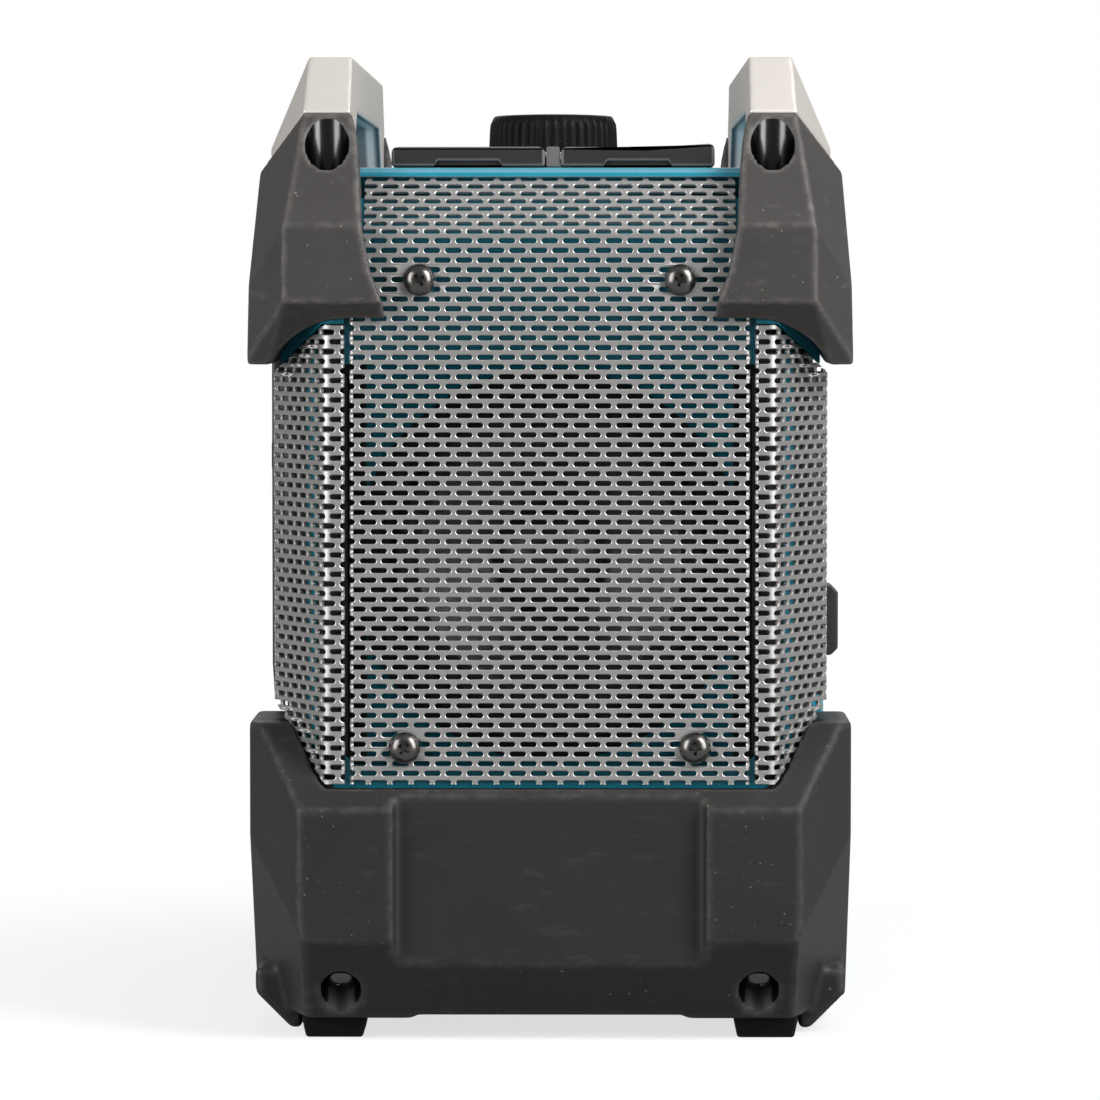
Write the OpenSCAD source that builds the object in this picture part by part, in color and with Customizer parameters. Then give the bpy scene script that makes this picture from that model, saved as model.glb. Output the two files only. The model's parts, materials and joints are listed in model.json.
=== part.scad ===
// Jobsite radio: a box-shaped radio with a loudspeaker in each end, punched steel grilles,
// rubber corner bumpers, and two metal handle bars over the deck.
// Origin: on the table at the centre of the footprint. X runs along the length, the front
// is towards -Y, and Z is up. The corner pieces are drawn once, at the front right.

/* [Overall] */
// Length over the rubber end pads
overall_len = 282; // [278:1:300]
// Depth over the rubber bumpers
overall_depth = 166; // [165:0.5:170]
// Height from the table to the top of the handles
overall_h = 269; // [268:0.5:276]
// Angle that a corner face turns away from the end face
corner_turn = 63; // [60:0.5:66]

/* [Housing] */
// Wall thickness of the mouldings
wall = 3; // [2.5:0.1:3.5]
// Height of the underside of the housing
housing_z0 = 10; // [9:0.5:11]
// Height from the ledge that the handles stand on to the top of the handles
ledge_drop = 39; // [38.5:0.1:39.5]
// Air gap between the housing and the back of the grilles
grille_air = 3; // [2.5:0.1:3.5]
// Height of the top face of the deck above the ledge
deck_rise = 8.3; // [8:0.1:8.8]
// Gap between the deck and the handles
deck_gap = 0.5; // [0.3:0.1:1.3]

/* [Grilles] */
// Distance of the end grille's face behind the rubber end pads
grille_set = 7; // [6.5:0.1:8]
// Thickness of the punched sheet
sheet_t = 1; // [0.8:0.1:1.2]
// Distance of the end grille's side edges inside the faces of the bumpers
grille_in = 28.7; // [28.2:0.1:30]
// Height of the end grille's lower edge
grille_z0 = 70.7; // [70:0.1:72]
// Height from where the end grille starts to lean to the top of the handles
lean_drop = 48.3; // [47:0.1:50]
// Lean of the top of the end grille from the vertical
lean_angle = 38.8; // [36:0.2:40]
// Length of the leaning part of the end grille, along its slope
lean_len = 19.1; // [16:0.1:19.5]
// Distance of a corner grille's vertical bend inside the faces of the bumpers
bend_in = 21.6; // [21:0.1:22.5]
// Distance of a corner grille's front strip inside the faces of the bumpers
strip_set = 6.5; // [6:0.1:7]
// Distance of the inner end of that strip from the end pads
strip_in = 56; // [53:0.5:57]
// Height from the top of a corner grille at the bend to the top of the handles
corner_top = 73.5; // [73:0.5:76]
// Slope of a corner grille's top edge, as a drop over the corner face
corner_drop = 13.2; // [10:0.2:15]
// Rise of a corner grille's bottom edge over the corner face
corner_rise = 21; // [20:0.5:24]
// Length of a slot
slot_len = 9; // [7:0.5:9.5]
// Width of a slot
slot_w = 2.5; // [2:0.1:2.8]
// Distance between slots in a row
slot_pitch = 11.6; // [11:0.1:13]
// Distance between rows
row_pitch = 5.24; // [5:0.02:6]

/* [Rubber] */
// Height of the underside of the boots
boot_z0 = 5.8; // [5:0.1:6.5]
// Height where the end pad of a boot stops undercutting
pad_z0 = 28.5; // [27:0.5:30]
// Height of the top of a boot's end pad
pad_z1 = 64.3; // [63:0.1:64.5]
// Height of a boot's top edge at the sides
boot_z1 = 86.4; // [85:0.2:88]
// Length of a boot's side wall
boot_len = 65; // [61:1:71]
// Distance of a boot's recessed middle panel inside the faces of the bumpers
panel_in = 40.6; // [39:0.2:45]
// Depth of the recessed middle panel
panel_depth = 4; // [2:0.2:4.5]
// Height from an upper bumper's outer lower edge to the top of the handles
bumper_drop = 84.4; // [83:0.1:85.5]
// Rise of an upper bumper's lower edge from its outer to its inner end
bumper_arc = 12.8; // [12:0.1:14]
// Height from where an upper bumper's end face leans back to the top of the handles
bumper_lean_drop = 46.5; // [45:0.1:47]
// Length of an upper bumper along the side
bumper_len = 55; // [51:0.5:56]
// Radius of an upper screw recess
recess_r = 5.9; // [5:0.1:6]
// Radius of a lower screw recess
low_recess_r = 5.4; // [5:0.1:5.6]
// Steepness of the screw recesses
recess_steep = 70; // [68:0.5:72]

/* [Handles] */
// Distance of a handle's inner face inside the faces of the bumpers
handle_set = 28.7; // [28:0.1:29]
// Width of a handle's top face
handle_top = 11.9; // [10:0.1:13]
// Distance of the ends of a handle's top face from the end pads
handle_taper = 32; // [31:0.5:33]
// Distance of the top of the hand opening from the end pads
window_in = 61; // [59:1:71]
// Height of a handle's bar over the hand opening
bar_h = 14.6; // [13:0.1:16]

/* [Speakers] */
// Width of the baffle round the speaker opening
speaker_rim = 5.3; // [5.2:0.1:8]
// Radius of the magnet
magnet_r = 32; // [28:0.5:36]

/* [Controls] */
// Radius of the volume knob
knob_r = 19.2; // [16:0.2:20]
// Height of the top of the volume knob above the deck
knob_rise = 18.1; // [16:0.1:20]
// Radius of the encoder shaft
shaft_r = 3; // [2.5:0.1:3.5]
// Travel of a button
button_travel = 1; // [0.6:0.1:1.2]
// Distance of the control panel inside the faces of the bumpers
panel_set = 4.6; // [4:0.1:4.8]
// Free deck beside the socket flaps
flap_margin = 11.9; // [11.8:0.1:16]
// Distance from a flap's hinge to its free edge
flap_len = 61.5; // [55:0.5:62]
// Height of the top of the flaps above the deck
flap_h = 5.7; // [5.2:0.1:6.7]

/* [Antenna] */
// Position of the antenna, from the centre plane
antenna_y = 0.8; // [0.4:0.1:1]
// Radius of the outer tube
antenna_r = 1.8; // [1.7:0.05:1.9]
// Distance of the antenna's pivot from the flap hinges
antenna_back = 26; // [24:0.5:28]
// Length of the outer tube
antenna_len = 76; // [60:1:78]

/* [Battery bay] */
// Half of the width of the bay
bay_half = 42; // [38:0.5:44]
// Height of the bay's floor
bay_z0 = 66; // [62:0.5:68]
// Height from the bay's ceiling to the top of the handles
bay_drop = 111; // [109:1:119]
// Depth of the bay, from the rear face of the housing
bay_depth = 44; // [36:1:46]
// Distance of the latch below the middle of the bay
latch_low = 1; // [0:0.5:5]

/* [Fits] */
// Gap between a shaft or pin and the bore that it runs in
run_gap = 0.05; // [0.02:0.01:0.1]
// Gap around a part that sits in an opening
seat_gap = 0.2; // [0.1:0.05:0.3]
// Gap around a part that moves
move_gap = 0.35; // [0.3:0.05:0.5]

/* [Hidden] */

// Colours
blue = [0.05, 0.40, 0.52];
rubber_grey = [0.17, 0.16, 0.16];
black = [0.07, 0.07, 0.075];
silver = [0.72, 0.71, 0.69];
steel = [0.60, 0.60, 0.60];
brass = [0.72, 0.58, 0.30];
board_green = [0.06, 0.28, 0.18];
glass_dark = [0.10, 0.13, 0.13];

$fn = 48;
big = 400;
eps = 0.01;

// Planes of the body. A corner plane is named by how far it lies inside the corner grille.
end_x = overall_len / 2;
side_y = overall_depth / 2;
handle_in = side_y - handle_set;
grille_half = side_y - grille_in;
bend_y = side_y - bend_in;
strip_y = side_y - strip_set;
strip_x = end_x - strip_in;
panel_y = side_y - panel_set;
deck_half = handle_in - deck_gap;
grille_x = end_x - grille_set;
housing_in = sheet_t + grille_air;
housing_x = grille_x - housing_in;
housing_y = strip_y - housing_in;
// Heights, from the top of the handles down
housing_z1 = overall_h - ledge_drop;
deck_z = housing_z1 + deck_rise;
lean_z = overall_h - lean_drop;
corner_z1 = overall_h - corner_top;
bumper_z0 = overall_h - bumper_drop;
bumper_tip_z = bumper_z0 + bumper_arc;
bumper_lean_z = overall_h - bumper_lean_drop;
window_z = overall_h - bar_h;
panel_top = housing_z1 - 6;
panel_bottom = boot_z1 + 3.6;
corner_d = cos(corner_turn) * grille_x + sin(corner_turn) * bend_y;
function corner_y(x, inset) = (corner_d - inset - cos(corner_turn) * x) / sin(corner_turn);
function corner_x(y, inset) = (corner_d - inset - sin(corner_turn) * y) / cos(corner_turn);
// Outline of the body in plan: an octagon with one corner plane on each corner
function plan(x, y, inset) = [
    [x, -corner_y(x, inset)], [corner_x(y, inset), -y],
    [-corner_x(y, inset), -y], [-x, -corner_y(x, inset)],
    [-x, corner_y(x, inset)], [-corner_x(y, inset), y],
    [corner_x(y, inset), y], [x, corner_y(x, inset)]
];

// ---------------------------------------------------------------- helpers
// A YZ profile extruded from x0 to x1
module along_x(x0, x1) {
    translate([x0, 0, 0]) rotate([90, 0, 90]) linear_extrude(x1 - x0) children();
}

// An XZ profile extruded from y0 to y1
module along_y(y0, y1) {
    translate([0, y1, 0]) rotate([90, 0, 0]) linear_extrude(y1 - y0) children();
}

// Everything beyond the plane through `at` whose outward normal has this azimuth and elevation
module beyond(at, az, elev) {
    translate(at) rotate([0, -elev, az]) translate([0, -big, -big]) cube([big, 2 * big, 2 * big]);
}

// The part of space between z0 and z1 inside an octagonal plan
module prism(x, y, inset, z0, z1) {
    translate([0, 0, z0]) linear_extrude(z1 - z0) polygon(plan(x, y, inset));
}

module box(low, high) {
    translate(low) cube([high[0] - low[0], high[1] - low[1], high[2] - low[2]]);
}

// A cylinder that starts at `at` and runs along the direction with this azimuth and elevation
module rod(at, az, elev, r, len, r_end = -1) {
    translate(at) rotate([0, 90 - elev, az]) cylinder(h = len, r1 = r, r2 = r_end < 0 ? r : r_end);
}

module rounded(w, h, r) {
    square([w - 2 * r, h], center = true);
    square([w, h - 2 * r], center = true);
    for (u = [-1, 1], v = [-1, 1]) translate([u * (w / 2 - r), v * (h / 2 - r)]) circle(r);
}

module both_ends() {
    children();
    mirror([1, 0, 0]) children();
}

module both_sides() {
    children();
    mirror([0, 1, 0]) children();
}

module four_corners() {
    both_sides() both_ends() children();
}

// A pan-head screw with a cross recess. Its head seats at `at` and points along az, elev.
screw_head_r = 4.4;
screw_head_h = 2.8;
screw_r = 2;
cross_w = 0.9;
cross_len = 4;
module screw(at, az, elev, len, head_r = screw_head_r) {
    edge = screw_head_h * 0.35;
    translate(at) rotate([0, 90 - elev, az]) {
        difference() {
            union() {
                cylinder(h = edge, r = head_r);
                translate([0, 0, edge]) cylinder(h = screw_head_h - edge, r1 = head_r, r2 = head_r * 0.55);
            }
            for (a = [45, 135]) rotate([0, 0, a])
                translate([-cross_len / 2, -cross_w / 2, screw_head_h - 1.4]) cube([cross_len, cross_w, 3]);
        }
        translate([0, 0, -len]) cylinder(h = len, r = screw_r);
    }
}

// ---------------------------------------------------------------- screw places
upper_screw_y = grille_half - 18.9;
upper_screw_z = lean_z - 13;
lower_screw_y = grille_half - 14.8;
lower_screw_z = grille_z0 + 9.9;
grille_screw_len = 9;
module grille_screw_places() {
    for (s = [-1, 1]) {
        translate([0, s * upper_screw_y, upper_screw_z]) children();
        translate([0, s * lower_screw_y, lower_screw_z]) children();
    }
}

// Upper bumper recess: mouth centre on the leaning face, then down and inwards
bumper_lean = 29.5;
upper_recess_z = overall_h - 24.1;
upper_recess_y = handle_in + 6.2;
upper_recess_x = end_x - (upper_recess_z - bumper_lean_z) * tan(bumper_lean);
upper_recess_depth = 11.5;
upper_screw_len = 12;
// Lower recess: mouth centre on the undercut face, then up and inwards
undercut = 30;
lower_recess_z = 12.9;
lower_recess_y = side_y - 26;
lower_recess_x = end_x - (pad_z0 - lower_recess_z) * tan(undercut);
lower_recess_depth = 5.5;
lower_screw_len = 12;
function down_in(p, depth) =
    [p[0] - depth * cos(recess_steep), p[1], p[2] - depth * sin(recess_steep)];
function up_in(p, depth) =
    [p[0] - depth * cos(recess_steep), p[1], p[2] + depth * sin(recess_steep)];
upper_mouth = [upper_recess_x, -upper_recess_y, upper_recess_z];
upper_seat = down_in(upper_mouth, upper_recess_depth);
lower_mouth = [lower_recess_x, -lower_recess_y, lower_recess_z];
lower_seat = up_in(lower_mouth, lower_recess_depth);

// Housing screws, from the rear
housing_screw_x = 72.5;
housing_screw_zs = [54, housing_z1 - 34];
housing_screw_len = 26;
boss_r = 4.5;
rear_screw_seat = 12;
rear_boss_r = 7;

// ---------------------------------------------------------------- housing
lean_half = handle_in - 3.3;
lean_shift = housing_in;
// What lies beyond the leaning end plane, this far inside the grille's face
module beyond_lean(inset, half) {
    translate([grille_x, 0, lean_z]) rotate([0, -lean_angle, 0])
        translate([-inset, -half, -big / 2]) cube([big, 2 * half, big]);
}

heel_inset = 8.3;
// The housing's outer form, made smaller all round by `shrink`
module housing_form(shrink) {
    half = lean_half + shrink;
    difference() {
        prism(housing_x - shrink, housing_y - shrink, housing_in + shrink,
            housing_z0 + shrink, housing_z1 - shrink);
        both_ends() {
            beyond_lean(lean_shift + shrink, half);
            translate([-heel_inset - shrink, 0, 0])
                beyond([end_x, 0, pad_z0], 0, -undercut);
        }
    }
}

// The speaker baffle's outline, in Y and Z
baffle_half = grille_half + 2.7;
baffle_z0 = grille_z0 + 5.3;
baffle_z1 = bumper_z0;
baffle_corner = 4;
module baffle_outline(grow) {
    h = baffle_half + grow;
    z0 = baffle_z0 - grow;
    z1 = baffle_z1 + grow;
    polygon([[-h, z0 + baffle_corner], [-h + baffle_corner, z0], [h - baffle_corner, z0],
        [h, z0 + baffle_corner], [h, z1], [-h, z1]]);
}

// Opening in the roof under the deck
roof_x = end_x - 30;
roof_y = deck_half - 6.8;
// Opening in the front wall behind the control panel
front_open_x = 56.6;
front_open_z1 = panel_top - 14;
front_open_z0 = front_open_z1 - 60;
board_y = housing_y - 6.5;
board_t = 1.6;
board_half = 64;
board_z1 = panel_top - 12;
board_z0 = board_z1 - 112;
module board_posts() {
    for (x = [-board_half + 4, board_half - 4], z = [board_z0 + 4, board_z1 - 4])
        translate([x, 0, z]) children();
}

// The lip's outline in Y and Z, from the bumper's arc down to the grille's top edge
lip_out = 0.5;
lip_gap = 0.4;
module lip_outline() {
    low_y = arc_y + arc_r * sin(arc_sweep * (arc_steps - 1) / arc_steps);
    low_z = corner_z1 - corner_drop * (low_y - bend_y) / (strip_y - bend_y);
    polygon(concat(
        [[-rail_y + 1, bumper_tip_z - lip_gap / 4]],
        [for (i = [0 : arc_steps - 1]) let (a = arc_sweep * i / arc_steps)
            if (arc_y + arc_r * sin(a) > rail_y)
            [-arc_y - arc_r * sin(a), bumper_tip_z - lip_gap / 4 - arc_r * (1 - cos(a))]],
        [[-low_y, low_z + lip_gap], [-bend_y - 0.3, corner_z1 + lip_gap],
            [-rail_y + 1, corner_z1 + lip_gap]]));
}

module housing_shell() {
    difference() {
        union() {
            difference() {
                housing_form(0);
                housing_form(wall);
            }
            // bosses for the grille screws and the bumper screws
            both_ends() for (s = [-1, 1])
                translate([housing_x - wall - 5, s * upper_screw_y, upper_screw_z])
                    rotate([0, 90, 0]) cylinder(h = grille_x - sheet_t - housing_x + wall + 5, r = boss_r);
            intersection() {
                housing_form(0);
                four_corners() {
                    rod(upper_seat, 180, -recess_steep, boss_r, 16);
                    rod(lower_seat, 180, recess_steep, boss_r, 16);
                }
            }
            // lips that fill the space between the corner grilles and the bumpers
            four_corners() intersection() {
                prism(grille_x - 0.3, strip_y + lip_out, -lip_out, 0, big);
                difference() {
                    along_x(bumper_x + 1, grille_x) lip_outline();
                    housing_form(wall / 2);
                }
            }
        }
        both_ends() {
            along_x(housing_x - 2 * wall, housing_x + 1) baffle_outline(seat_gap);
            for (s = [-1, 1])
                translate([housing_x - 20, s * upper_screw_y, upper_screw_z])
                    rotate([0, 90, 0]) cylinder(h = 40, r = screw_r + run_gap);
        }
        four_corners() {
            rod(upper_seat, 180, -recess_steep, screw_r + run_gap, upper_screw_len + 1);
            rod(lower_seat, 180, recess_steep, screw_r + run_gap, lower_screw_len + 1);
        }
        box([-roof_x, -roof_y, housing_z1 - wall - 1], [roof_x, roof_y, housing_z1 + 1]);
    }
}

module front_housing() {
    color(blue) {
        difference() {
            union() {
                intersection() {
                    housing_shell();
                    box([-big, -big, 0], [big, 0, big]);
                }
                // posts for the main board, and bosses for the housing screws
                board_posts() rotate([-90, 0, 0]) translate([0, 0, -housing_y + wall - eps])
                    cylinder(h = housing_y - wall - board_y + eps, r = 3);
                for (x = [-housing_screw_x, housing_screw_x], z = housing_screw_zs)
                    translate([x, -housing_y + wall - eps, z]) rotate([-90, 0, 0])
                        cylinder(h = housing_y - wall + eps, r = boss_r);
                for (x = [-power_half + 5, power_half - 5], y = [power_y0 + 5, -5])
                    translate([x, y, housing_z0 + wall - eps])
                        cylinder(h = power_z - housing_z0 - wall + eps, r = 3);
            }
            box([-front_open_x, -housing_y - 1, front_open_z0],
                [front_open_x, -housing_y + wall + 1, front_open_z1]);
            for (x = [-housing_screw_x, housing_screw_x], z = housing_screw_zs)
                translate([x, eps, z]) rotate([90, 0, 0]) cylinder(h = 14, r = screw_r + run_gap);
        }
    }
}

// Rear opening of the housing, which the battery bay's liner fills
liner_t = 2;
bay_out = bay_half + liner_t;
module rear_housing() {
    color(blue) difference() {
        union() {
            intersection() {
                housing_shell();
                box([-big, 0, 0], [big, big, big]);
            }
            for (x = [-housing_screw_x, housing_screw_x], z = housing_screw_zs)
                translate([x, 0, z]) rotate([-90, 0, 0])
                    cylinder(h = housing_y - wall + eps, r = rear_boss_r);
            // ears for the door's hinge pin
            for (z = ear_zs) hinge_ear(z);
        }
        box([-bay_out - seat_gap, housing_y - wall - 1, bay_z0 - liner_t - seat_gap],
            [bay_out + seat_gap, housing_y + 1, bay_z1 + liner_t + seat_gap]);
        // pocket that the latch's tongue moves in
        box([pocket_x1 - pocket_w, housing_y - wall - 1, latch_z - pocket_h / 2],
            [pocket_x1, housing_y + 1, latch_z + pocket_h / 2]);
        for (x = [-housing_screw_x, housing_screw_x], z = housing_screw_zs)
            translate([x, -1, z]) rotate([-90, 0, 0]) {
                cylinder(h = housing_y + 2, r = screw_r + run_gap);
                translate([0, 0, rear_screw_seat + 1]) cylinder(h = housing_y, r = screw_head_r + 0.6);
            }
        translate([hinge_x, hinge_y, ear_zs[0] - 10])
            cylinder(h = ear_zs[1] - ear_zs[0] + ear_h + 20, r = pin_r + run_gap);
    }
}

// ---------------------------------------------------------------- deck
deck_plate = 2.7;
rim_x = grille_x - lean_len * sin(lean_angle) + 1.2;
rim_bevel = 0.9;
skirt_x = end_x - 25;
flap_set = 1.732;
hinge_line_x = rim_x - flap_set - flap_len;
well_x0 = hinge_line_x + 8;
well_x1 = hinge_line_x + flap_len - 15.5;
well_y0 = 8;
well_y1 = deck_half - 15.8;
well_depth = 14.3;
well_wall = 2;
hinge_line_z = deck_z + 3.1;
barrel_r = 2.3;
flap_pin_r = 0.8;
ear_len = 3;
flap_gap = 2.2;
front_flap_y = antenna_y - flap_gap;
rear_flap_y = antenna_y + flap_gap;
ring_r = 17;
audio_x = well_x0 + 10;
usb_x = well_x1 - 12;
inlet_x = (well_x0 + well_x1) / 2;
socket_y = -(well_y0 + well_y1) / 2;
knob_x = hinge_line_x - 60;
module deck_well() {
    box([well_x0 - well_wall, well_y0 - well_wall, deck_z - well_depth - well_wall],
        [well_x1 + well_wall, well_y1 + well_wall, deck_z - deck_plate + eps]);
}

// The flap hinge's ears stand outside both ends of the flap's barrel
module flap_ears(y_in, y_out) {
    for (y = [y_in, y_out - ear_len]) {
        translate([hinge_line_x, y, hinge_line_z]) rotate([-90, 0, 0])
            cylinder(h = ear_len, r = barrel_r);
        box([hinge_line_x - barrel_r, y, deck_z - eps],
            [hinge_line_x + barrel_r, y + ear_len, hinge_line_z]);
    }
}

module top_deck() {
    color(blue) difference() {
        union() {
            // plate with a bevelled rim, and the skirt under it
            along_y(-deck_half, deck_half) polygon([
                [-rim_x, deck_z - deck_plate], [rim_x, deck_z - deck_plate],
                [rim_x, deck_z - rim_bevel], [rim_x - rim_bevel, deck_z],
                [-rim_x + rim_bevel, deck_z], [-rim_x, deck_z - rim_bevel]]);
            difference() {
                box([-skirt_x, -deck_half, housing_z1], [skirt_x, deck_half, deck_z - deck_plate + eps]);
                box([-skirt_x + wall, -deck_half + wall, housing_z1 - 1],
                    [skirt_x - wall, deck_half - wall, deck_z - deck_plate]);
            }
            deck_well();
            mirror([0, 1, 0]) deck_well();
            translate([knob_x, 0, deck_z - eps]) difference() {
                cylinder(h = 1.6, r = ring_r);
                translate([0, 0, -1]) cylinder(h = 4, r = ring_r - 4);
            }
            flap_ears(-deck_half + 9, front_flap_y - 0.6);
            flap_ears(rear_flap_y + 0.6, deck_half - 9);
        }
        for (s = [-1, 1])
            box([well_x0, s < 0 ? -well_y1 : well_y0, deck_z - well_depth],
                [well_x1, s < 0 ? -well_y0 : well_y1, deck_z + 1]);
        // holes for the encoder, the sockets and the pins
        translate([knob_x, 0, deck_z - 20]) cylinder(h = 40, r = bushing_r + run_gap);
        translate([audio_x, socket_y, deck_z - 30]) cylinder(h = 30, r = audio_r + run_gap);
        translate([usb_x, socket_y, deck_z - 30]) linear_extrude(30)
            square([usb_h + 2 * seat_gap, usb_w + 2 * seat_gap], center = true);
        translate([inlet_x, -socket_y, deck_z - 30]) cylinder(h = 30, r = inlet_r + run_gap);
        for (y = [-deck_half, 1])
            translate([hinge_line_x, y, hinge_line_z]) rotate([-90, 0, 0])
                cylinder(h = deck_half, r = flap_pin_r + run_gap / 2);
    }
}

// ---------------------------------------------------------------- speaker baffles
ring_w = 4;
flange_t = 3;
speaker_z = (baffle_z0 + baffle_z1) / 2;
speaker_r = min(baffle_half, (baffle_z1 - baffle_z0) / 2) - speaker_rim;
rail_t = 1.4;
module baffle() {
    color(black) difference() {
        union() {
            along_x(housing_x - wall, housing_x) baffle_outline(0);
            along_x(housing_x - wall - flange_t, housing_x - wall) intersection() {
                baffle_outline(2.6);
                square([2 * (baffle_half - seat_gap), 2 * big], center = true);
            }
            translate([housing_x - eps, 0, speaker_z]) rotate([0, 90, 0])
                cylinder(h = 1.5, r = speaker_r + ring_w);
            for (s = [-1, 1])
                translate([housing_x - eps, s * lower_screw_y, lower_screw_z])
                    rotate([0, 90, 0]) cylinder(h = grille_air + eps, r = boss_r);
            // rails between the end grille and the corner grilles
            both_sides()
                box([housing_x - eps, rail_y - 0.5 - rail_t, baffle_z0 + 3],
                    [grille_x - sheet_t, rail_y - 0.5, baffle_z1 - 3]);
        }
        translate([housing_x - 20, 0, speaker_z]) rotate([0, 90, 0]) cylinder(h = 40, r = speaker_r);
        for (s = [-1, 1])
            translate([housing_x - 20, s * lower_screw_y, lower_screw_z])
                rotate([0, 90, 0]) cylinder(h = 40, r = screw_r + run_gap);
    }
}

// ---------------------------------------------------------------- grilles
module slot() {
    square([slot_len - slot_w, slot_w], center = true);
    for (s = [-1, 1]) translate([s * (slot_len - slot_w) / 2, 0]) circle(d = slot_w);
}

// Rows of slots inside a width and a height, staggered by half a pitch. Rows start at the
// bottom edge, and a slot is left out where it would come too near the sides or a screw.
module slot_rows(half, z0, z1, keep_y = [], keep_z = []) {
    rows = floor((z1 - z0 - slot_w) / row_pitch);
    first = z0 + (z1 - z0 - rows * row_pitch) / 2;
    span = half - slot_len / 2 - 1.2;
    count = ceil(span / slot_pitch) + 1;
    for (i = [0 : rows], j = [-count : count]) {
        y = (j + (i % 2) / 2) * slot_pitch;
        z = first + i * row_pitch;
        blocked = [for (k = [0 : 1 : len(keep_y) - 1])
            if (abs(abs(y) - keep_y[k]) < slot_len / 2 + 3.6 && abs(z - keep_z[k]) < 4.2) 1];
        if (abs(y) <= span && len(blocked) == 0) translate([y, z]) slot();
    }
}

lean_half_w = grille_half - 3.9;
module end_grille() {
    color(silver) {
        difference() {
            union() {
                along_x(grille_x - sheet_t, grille_x) difference() {
                    translate([-grille_half, grille_z0]) square([2 * grille_half, lean_z - grille_z0]);
                    slot_rows(grille_half, grille_z0 + 1.5, lean_z - 1.5,
                        [upper_screw_y, lower_screw_y], [upper_screw_z, lower_screw_z]);
                }
                // top strip that leans inwards to the rim of the deck
                translate([grille_x, 0, lean_z]) rotate([0, -lean_angle, 0])
                    along_x(-sheet_t, 0) difference() {
                        translate([-lean_half_w, -0.2]) square([2 * lean_half_w, lean_len + 0.2]);
                        slot_rows(lean_half_w, 1.2, lean_len - 1);
                    }
                // returned edges that stand on the housing
                for (y = [-grille_half, grille_half - sheet_t])
                    box([housing_x, y, grille_z0], [grille_x - sheet_t + eps, y + sheet_t, lean_z - 4]);
                box([housing_x, -grille_half, grille_z0],
                    [grille_x - sheet_t + eps, grille_half, grille_z0 + sheet_t]);
            }
            grille_screw_places() translate([grille_x - 5, 0, 0]) rotate([0, 90, 0])
                cylinder(h = 10, r = screw_r + run_gap);
        }
    }
}

face_len = (strip_y - bend_y) / cos(corner_turn);
strip_top = corner_z1 - corner_drop;
strip_bottom = grille_z0 + corner_rise;
rail_y = grille_half + 2.5;
face_end_x = grille_x - face_len * sin(corner_turn);
module corner_grille() {
    color(silver) {
        // narrow strip in the end plane
        along_x(grille_x - sheet_t, grille_x)
            translate([-bend_y, grille_z0]) square([bend_y - rail_y, corner_z1 - grille_z0]);
        box([housing_x, -rail_y - sheet_t, grille_z0], [grille_x - sheet_t + eps, -rail_y, corner_z1]);
        // corner face
        translate([grille_x, -bend_y, 0]) rotate([90, 0, 270 - corner_turn]) linear_extrude(sheet_t)
            difference() {
                polygon([[0, grille_z0], [face_len, strip_bottom], [face_len, strip_top], [0, corner_z1]]);
                translate([face_len / 2, 0]) slot_rows(face_len / 2, strip_bottom + 1, strip_top - 1);
                translate([face_len / 4, 0])
                    slot_rows(face_len / 4, grille_z0 + corner_rise * 0.55, strip_bottom - 0.5);
                translate([face_len / 4, 0])
                    slot_rows(face_len / 4, strip_top + 1.5, corner_z1 - corner_drop * 0.45);
            }
        // strip on the side of the body, returned to the housing at its end
        translate([face_end_x, -strip_y, 0]) rotate([90, 0, 180])
            linear_extrude(sheet_t) difference() {
                translate([0, strip_bottom]) square([face_end_x - strip_x, strip_top - strip_bottom]);
                translate([(face_end_x - strip_x) / 2, 0])
                    slot_rows((face_end_x - strip_x) / 2, strip_bottom + 1, strip_top - 1);
            }
        box([strip_x, -strip_y + sheet_t - eps, strip_bottom], [strip_x + sheet_t, -housing_y, strip_top]);
    }
}

// ---------------------------------------------------------------- upper bumpers and handles
// Facets that the bumper and the end of the handle share
crown_x = end_x - (window_z - 1.1 - bumper_lean_z) * tan(bumper_lean);
crown_z = window_z - 1.1;
crown_y = side_y - 15.8;
cap_slope = 66;
bumper_corner_y = side_y - 11;
bumper_out = cos(corner_turn) * end_x + sin(corner_turn) * bumper_corner_y - corner_d;
shoulder_z = overall_h - 25.9;
shoulder_y = side_y - 5;
slant = (shoulder_y - handle_in - handle_top) / (overall_h - shoulder_z);
module shoulder_facet() {
    beyond([crown_x, -crown_y, crown_z], -75, 16.4);
}

module above_cap() {
    beyond([crown_x, 0, crown_z], 180, cap_slope);
}

// The bumper's outline seen from the end, from the inner edge round to the outer side
tip_y = handle_in - 9.6;
arc_y = side_y - 28;
arc_end_y = side_y - 6.4;
arc_drop = bumper_tip_z - bumper_z0;
arc_run = arc_end_y - arc_y;
arc_r = (arc_run * arc_run + arc_drop * arc_drop) / (2 * arc_drop);
arc_sweep = asin(arc_run / arc_r);
arc_steps = 6;
module bumper_outline() {
    polygon(concat(
        [[-handle_in + 0.3, crown_z + 1], [-handle_in + 2, crown_z - 8], [-handle_in + 2.8, crown_z - 18],
            [-handle_in + 3.5, bumper_lean_z], [-handle_in + 5.7, bumper_tip_z + 13],
            [-handle_in + 9.1, bumper_tip_z + 3.8],
            [-tip_y, bumper_tip_z]],
        [for (i = [0 : arc_steps]) let (a = arc_sweep * i / arc_steps)
            [-arc_y - arc_r * sin(a), bumper_tip_z - arc_r * (1 - cos(a))]],
        [[-side_y, bumper_z0], [-side_y + 0.6, bumper_z0 + 23.7], [-side_y + 2, shoulder_z - 5.7],
            [-shoulder_y, shoulder_z], [-shoulder_y + slant * (crown_z + 1 - shoulder_z), crown_z + 1]]));
}

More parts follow.
